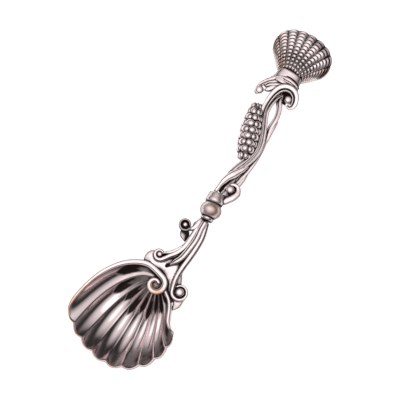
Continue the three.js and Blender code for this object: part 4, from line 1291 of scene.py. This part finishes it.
def antiqued_casting(name, metal, copper_share, side_oxide_and_shade, recess_oxide, roughness, mottle):
    """Zinc alloy, cast, copper plated, blackened and relieved: bright pinkish high places with a soft
    mirror, black matt oxide that stayed in the recesses, painted shade on steep faces, and copper where an
    edge was rubbed."""
    finish = bpy.context.scene.spoon_finish
    material = bpy.data.materials.new(name)
    tree = empty_tree(material)
    place = add_node(tree, "ShaderNodeTexCoord").outputs["Object"]
    recess, crest, soot, rub = (
        add_node(tree, "ShaderNodeAttribute", {"attribute_name": mark}).outputs["Fac"]
        for mark in ("recess", "crest", "soot", "rub"))
    # Patches of a few millimetres, where the polisher's wheel took off more or less
    patch = add_node(tree, "ShaderNodeTexNoise", Vector=place, Scale=1.0 / PATCH_SIZE,
                     Detail=PATCH_DETAIL, Roughness=NOISE_ROUGHNESS).outputs["Fac"]
    # Pits and brush marks of about half a millimetre
    grain = add_node(tree, "ShaderNodeTexNoise", Vector=place, Scale=1.0 / GRAIN_SIZE,
                     Detail=GRAIN_DETAIL, Roughness=NOISE_ROUGHNESS).outputs["Fac"]
    # The wheel reached the top and the back and missed the sides, so a steep face keeps its oxide; this
    # darkening of steep faces is also painted shade, standing in for the dark that steep metal reflects
    facing = add_node(tree, "ShaderNodeNewGeometry").outputs["Normal"]
    upward = add_node(tree, "ShaderNodeSeparateXYZ", Vector=facing).outputs["Z"]
    level = add_node(tree, "ShaderNodeMath", {"operation": "ABSOLUTE"}, i0=upward).outputs[0]
    steep = add_node(tree, "ShaderNodeMapRange", i0=level, i1=LEVEL_UNSHADED, i2=LEVEL_FULLY_SHADED, i3=0.0,
                     i4=side_oxide_and_shade).outputs[0]
    # Painted shade on steep faces, added to the oxide and painted shade that each strand was given
    oxide_and_shade_sum = add_node(tree, "ShaderNodeMath", i0=steep, i1=soot).outputs[0]
    shut = add_node(tree, "ShaderNodeMath", {"operation": "MULTIPLY_ADD"}, i0=recess, i1=recess_oxide,
                    i2=oxide_and_shade_sum).outputs[0]
    uneven = add_node(tree, "ShaderNodeMath", {"operation": "MULTIPLY_ADD"}, i0=patch, i1=mottle,
                      i2=shut).outputs[0]
    # Half the mottle is taken off again, so that it spreads the oxide and painted shade without adding any
    thin = DARKENING_START + mottle / 2.0
    dark = add_node(tree, "ShaderNodeMapRange", i0=uneven, i1=thin, i2=thin + DARKENING_RUN, i3=0.0,
                    i4=1.0).outputs[0]
    # Copper shows in patches on the edges that stand out and where a piece was rubbed
    edge = add_node(tree, "ShaderNodeMath", i0=crest, i1=rub).outputs[0]
    worn = add_node(tree, "ShaderNodeMath", {"operation": "MULTIPLY_ADD"}, i0=patch, i1=COPPER_PATCHES,
                    i2=edge).outputs[0]
    bare = COPPER_START - copper_share
    warm = add_node(tree, "ShaderNodeMapRange", i0=worn, i1=bare, i2=bare + COPPER_RUN, i3=0.0,
                    i4=1.0).outputs[0]
    plated = add_node(tree, "ShaderNodeMix", {"data_type": "RGBA"}, i0=warm,
                      i6=tuple(getattr(finish, metal)), i7=tuple(finish.copper)).outputs[2]
    base = add_node(tree, "ShaderNodeMix", {"data_type": "RGBA"}, i0=dark, i6=plated,
                    i7=tuple(finish.oxide)).outputs[2]
    sheen = add_node(tree, "ShaderNodeMapRange", i0=grain, i1=GRAIN_LOW, i2=GRAIN_HIGH,
                     i3=roughness + SHINIER, i4=roughness + DULLER).outputs[0]
    rough = add_node(tree, "ShaderNodeMix", {"data_type": "FLOAT"}, i0=dark, i2=sheen,
                     i3=DARKENED_ROUGHNESS).outputs[0]
    metallic = add_node(tree, "ShaderNodeMapRange", i0=dark, i1=0.0, i2=1.0, i3=1.0,
                        i4=DARKENED_METAL).outputs[0]
    bump = add_node(tree, "ShaderNodeBump", Height=grain, Strength=GRAIN_STRENGTH,
                    Distance=GRAIN_DEPTH).outputs[0]
    shader = add_node(tree, "ShaderNodeBsdfPrincipled", Base_Color=base, Roughness=rough,
                      Metallic=metallic, Normal=bump, Specular_IOR_Level=SPECULAR)
    add_node(tree, "ShaderNodeOutputMaterial", Surface=shader.outputs[0])
    return material


# How far and in how many directions a corner looks for walls, how far off the surface its rays start, and
# how much a bend counts
RECESS_REACH = 2.2 * MM
RECESS_RAYS = 16
RAY_CLEARANCE = 0.02 * MM
CREST_GAIN = 0.25 * MM


def hemisphere(directions):
    """Directions spread over the upper half of a sphere, closer together near its top."""
    spread = []
    for index in range(directions):
        height = math.sqrt((index + 0.5) / directions)
        way = index * math.pi * (3.0 - math.sqrt(5.0))
        flat = math.sqrt(1.0 - height * height)
        spread.append(Vector((math.cos(way) * flat, math.sin(way) * flat, height)))
    return spread


class SPOON_OT_ageing(bpy.types.Operator):
    """Finds the recesses and crests of every piece and gives the pieces their antiqued finish"""

    bl_idname = "spoon.ageing"
    bl_label = "Ageing"

    def execute(self, context):
        pieces = [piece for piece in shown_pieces() if "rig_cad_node" not in piece]
        if not pieces:
            raise RuntimeError("there are no pieces to age")
        corners = []
        faces = []
        for piece in pieces:
            first = len(corners)
            corners += [corner.co for corner in piece.data.vertices]
            faces += [[first + index for index in face.vertices] for face in piece.data.polygons]
        surface = BVHTree.FromPolygons(corners, faces)
        rays = hemisphere(RECESS_RAYS)
        finishes = {wearer: antiqued_casting(*settings) for wearer, settings in FINISHES.items()}
        for piece in pieces:
            self.measure(piece.data, surface, rays)
            wearer = piece.name if piece.name in finishes else piece["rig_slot"]
            if piece.name.endswith("pearl"):
                wearer = "pearl"
            if piece.name in VINES:
                wearer = "vine"
            piece.data.materials.append(finishes[wearer])
        return {"FINISHED"}

    @staticmethod
    def measure(mesh, surface, rays):
        """Stores how shut in each corner is, and how sharply the surface bends out there."""
        measured = {"recess": [], "crest": []}
        bends = [0.0] * len(mesh.vertices)
        shares = [1e-9] * len(mesh.vertices)
        for edge in mesh.edges:
            a, b = (mesh.vertices[index] for index in edge.vertices)
            gap = b.co - a.co
            bend = (b.normal - a.normal).dot(gap) / max(gap.length_squared, 1e-12)
            for corner in (a, b):
                bends[corner.index] += bend * gap.length
                shares[corner.index] += gap.length
        for corner in mesh.vertices:
            turn = UP.rotation_difference(corner.normal)
            start = corner.co + corner.normal * RAY_CLEARANCE
            shut = 0.0
            for ray in rays:
                distance = surface.ray_cast(start, turn @ ray, RECESS_REACH)[3]
                if distance is not None:
                    shut += 1.0 - distance / RECESS_REACH
            measured["recess"].append(shut / len(rays))
            bend = bends[corner.index] / shares[corner.index]
            measured["crest"].append(max(0.0, min(1.0, CREST_GAIN * bend)))
        for name, values in measured.items():
            mesh.attributes.new(name, "FLOAT", "POINT").data.foreach_set("value", values)


# The stage

CAMERA_EYE = Vector((-7.49, -29.85, 451.62)) * MM
CAMERA_TARGET = Vector((45.03, 4.26, 6.0)) * MM
CAMERA_LENS = 127.2
CAMERA_SENSOR = 36.0
CAMERA_NEAR = 0.01
CAMERA_FAR = 10.0
LAMP_EYE = Vector((0.02, 0.08, 0.62))
LAMP_TARGET = Vector((0.045, 0.0, 0.0))
LAMP_SIZE = 0.5
LAMP_POWER = 0.35
FLOOR_PLACE = Vector((0.045, 0.0, -0.05 * MM))
FLOOR_REACH = 1.5
FLOOR_GLOW = 0.72
# The room's brightness by how far a direction points to the ceiling: dark at eye level, bright above
CEILING = Vector((0.0, 0.15, 0.99))
ROOM = ((0.0, 0.2), (0.1, 0.08), (0.3, 0.03), (0.46, 0.04), (0.68, 0.55), (0.86, 0.92))


def aimed(eye, target):
    """The place and turn of a camera or lamp that looks from an eye at a target."""
    away = (eye - target).normalized()
    right = UP.cross(away).normalized()
    turn = Matrix((right, away.cross(right), away)).transposed()
    return Matrix.Translation(eye) @ turn.to_4x4()


class SPOON_OT_stage(bpy.types.Operator):
    """Adds the tabletop, the studio light and the camera"""

    bl_idname = "spoon.stage"
    bl_label = "Stage"

    def execute(self, context):
        scene = context.scene
        scene.view_settings.view_transform = "Standard"
        self.floor(scene)
        self.studio(scene)
        camera = bpy.data.cameras.new("photo_camera")
        camera.lens = CAMERA_LENS
        camera.sensor_width = CAMERA_SENSOR
        camera.clip_start = CAMERA_NEAR
        camera.clip_end = CAMERA_FAR
        scene.camera = as_object("photo_camera", camera)
        scene.camera.matrix_world = aimed(CAMERA_EYE, CAMERA_TARGET)
        return {"FINISHED"}

    @staticmethod
    def floor(scene):
        """A pale tabletop, which the camera and the metal see as white where no shadow falls."""
        shape = bmesh.new()
        bmesh.ops.create_grid(shape, x_segments=1, y_segments=1, size=FLOOR_REACH)
        bmesh.ops.translate(shape, vec=FLOOR_PLACE, verts=shape.verts)
        table = as_object("tabletop", as_mesh("tabletop", shape))
        table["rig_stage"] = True
        material = bpy.data.materials.new("matt_white_tabletop")
        tree = empty_tree(material)
        path = add_node(tree, "ShaderNodeLightPath").outputs
        seen = add_node(tree, "ShaderNodeMath", {"operation": "MAXIMUM"}, i0=path["Is Camera Ray"],
                        i1=path["Is Glossy Ray"]).outputs[0]
        seen = add_node(tree, "ShaderNodeMath", {"operation": "MAXIMUM"}, i0=seen,
                        i1=path["Is Transmission Ray"]).outputs[0]
        glow = add_node(tree, "ShaderNodeMath", {"operation": "MULTIPLY"}, i0=seen, i1=FLOOR_GLOW)
        lit = add_node(tree, "ShaderNodeBsdfDiffuse", Color=tuple(scene.spoon_finish.floor))
        white = add_node(tree, "ShaderNodeEmission", Strength=glow.outputs[0])
        both = add_node(tree, "ShaderNodeAddShader", i0=lit.outputs[0], i1=white.outputs[0])
        add_node(tree, "ShaderNodeOutputMaterial", Surface=both.outputs[0])
        table.data.materials.append(material)

    @staticmethod
    def studio(scene):
        """A bright ceiling over a darker room, and one soft lamp; the camera sees plain white."""
        scene.world = bpy.data.worlds.new("studio")
        tree = empty_tree(scene.world)
        way = add_node(tree, "ShaderNodeTexCoord").outputs["Generated"]
        upward = add_node(tree, "ShaderNodeVectorMath", {"operation": "DOT_PRODUCT"}, i0=way, i1=CEILING)
        room = add_node(tree, "ShaderNodeValToRGB", Fac=upward.outputs["Value"])
        stops = room.color_ramp.elements
        while len(stops) < len(ROOM):
            stops.new(1.0)
        for stop, (place, grey) in zip(stops, ROOM):
            stop.position = place
            stop.color = (grey, grey, grey, 1.0)
        path = add_node(tree, "ShaderNodeLightPath").outputs["Is Camera Ray"]
        shown = add_node(tree, "ShaderNodeMix", {"data_type": "RGBA"}, i0=path, i6=room.outputs["Color"],
                         i7=(1.0, 1.0, 1.0, 1.0))
        light = add_node(tree, "ShaderNodeBackground", Color=shown.outputs[2], Strength=1.0)
        add_node(tree, "ShaderNodeOutputWorld", Surface=light.outputs[0])
        lamp = bpy.data.lights.new("softbox", "AREA")
        lamp.shape = "DISK"
        lamp.size = LAMP_SIZE
        lamp.energy = LAMP_POWER
        as_object("softbox", lamp).matrix_world = aimed(LAMP_EYE, LAMP_TARGET)


STEPS = ("bowl", "rolled_edge", "stem", "knop", "vine", "cob", "crest", "finial", "ageing", "stage")


class SPOON_PT_panel(bpy.types.Panel):
    """Lists the spoon's pieces"""

    bl_label = "Shell Spoon"
    bl_idname = "SPOON_PT_panel"
    bl_space_type = "VIEW_3D"
    bl_region_type = "UI"
    bl_category = "Spoon"

    def draw(self, context):
        for step in STEPS:
            self.layout.operator(f"spoon.{step}")


GROUPS = {"spoon_bowl": BowlSizes, "spoon_stem": StemSizes, "spoon_vine": VineSizes,
          "spoon_finial": FinialSizes, "spoon_finish": SpoonFinish}
CLASSES = (*GROUPS.values(), SPOON_OT_bowl, SPOON_OT_rolled_edge, SPOON_OT_stem, SPOON_OT_knop,
           SPOON_OT_vine, SPOON_OT_cob, SPOON_OT_crest, SPOON_OT_finial, SPOON_OT_ageing, SPOON_OT_stage,
           SPOON_PT_panel)


def register():
    for cls in CLASSES:
        bpy.utils.register_class(cls)
    for name, group in GROUPS.items():
        setattr(bpy.types.Scene, name, PointerProperty(type=group))


def unregister():
    for name in GROUPS:
        delattr(bpy.types.Scene, name)
    for cls in reversed(CLASSES):
        bpy.utils.unregister_class(cls)


def main():
    register()
    for step in STEPS:
        getattr(bpy.ops.spoon, step)()


if __name__ == "__main__":
    main()
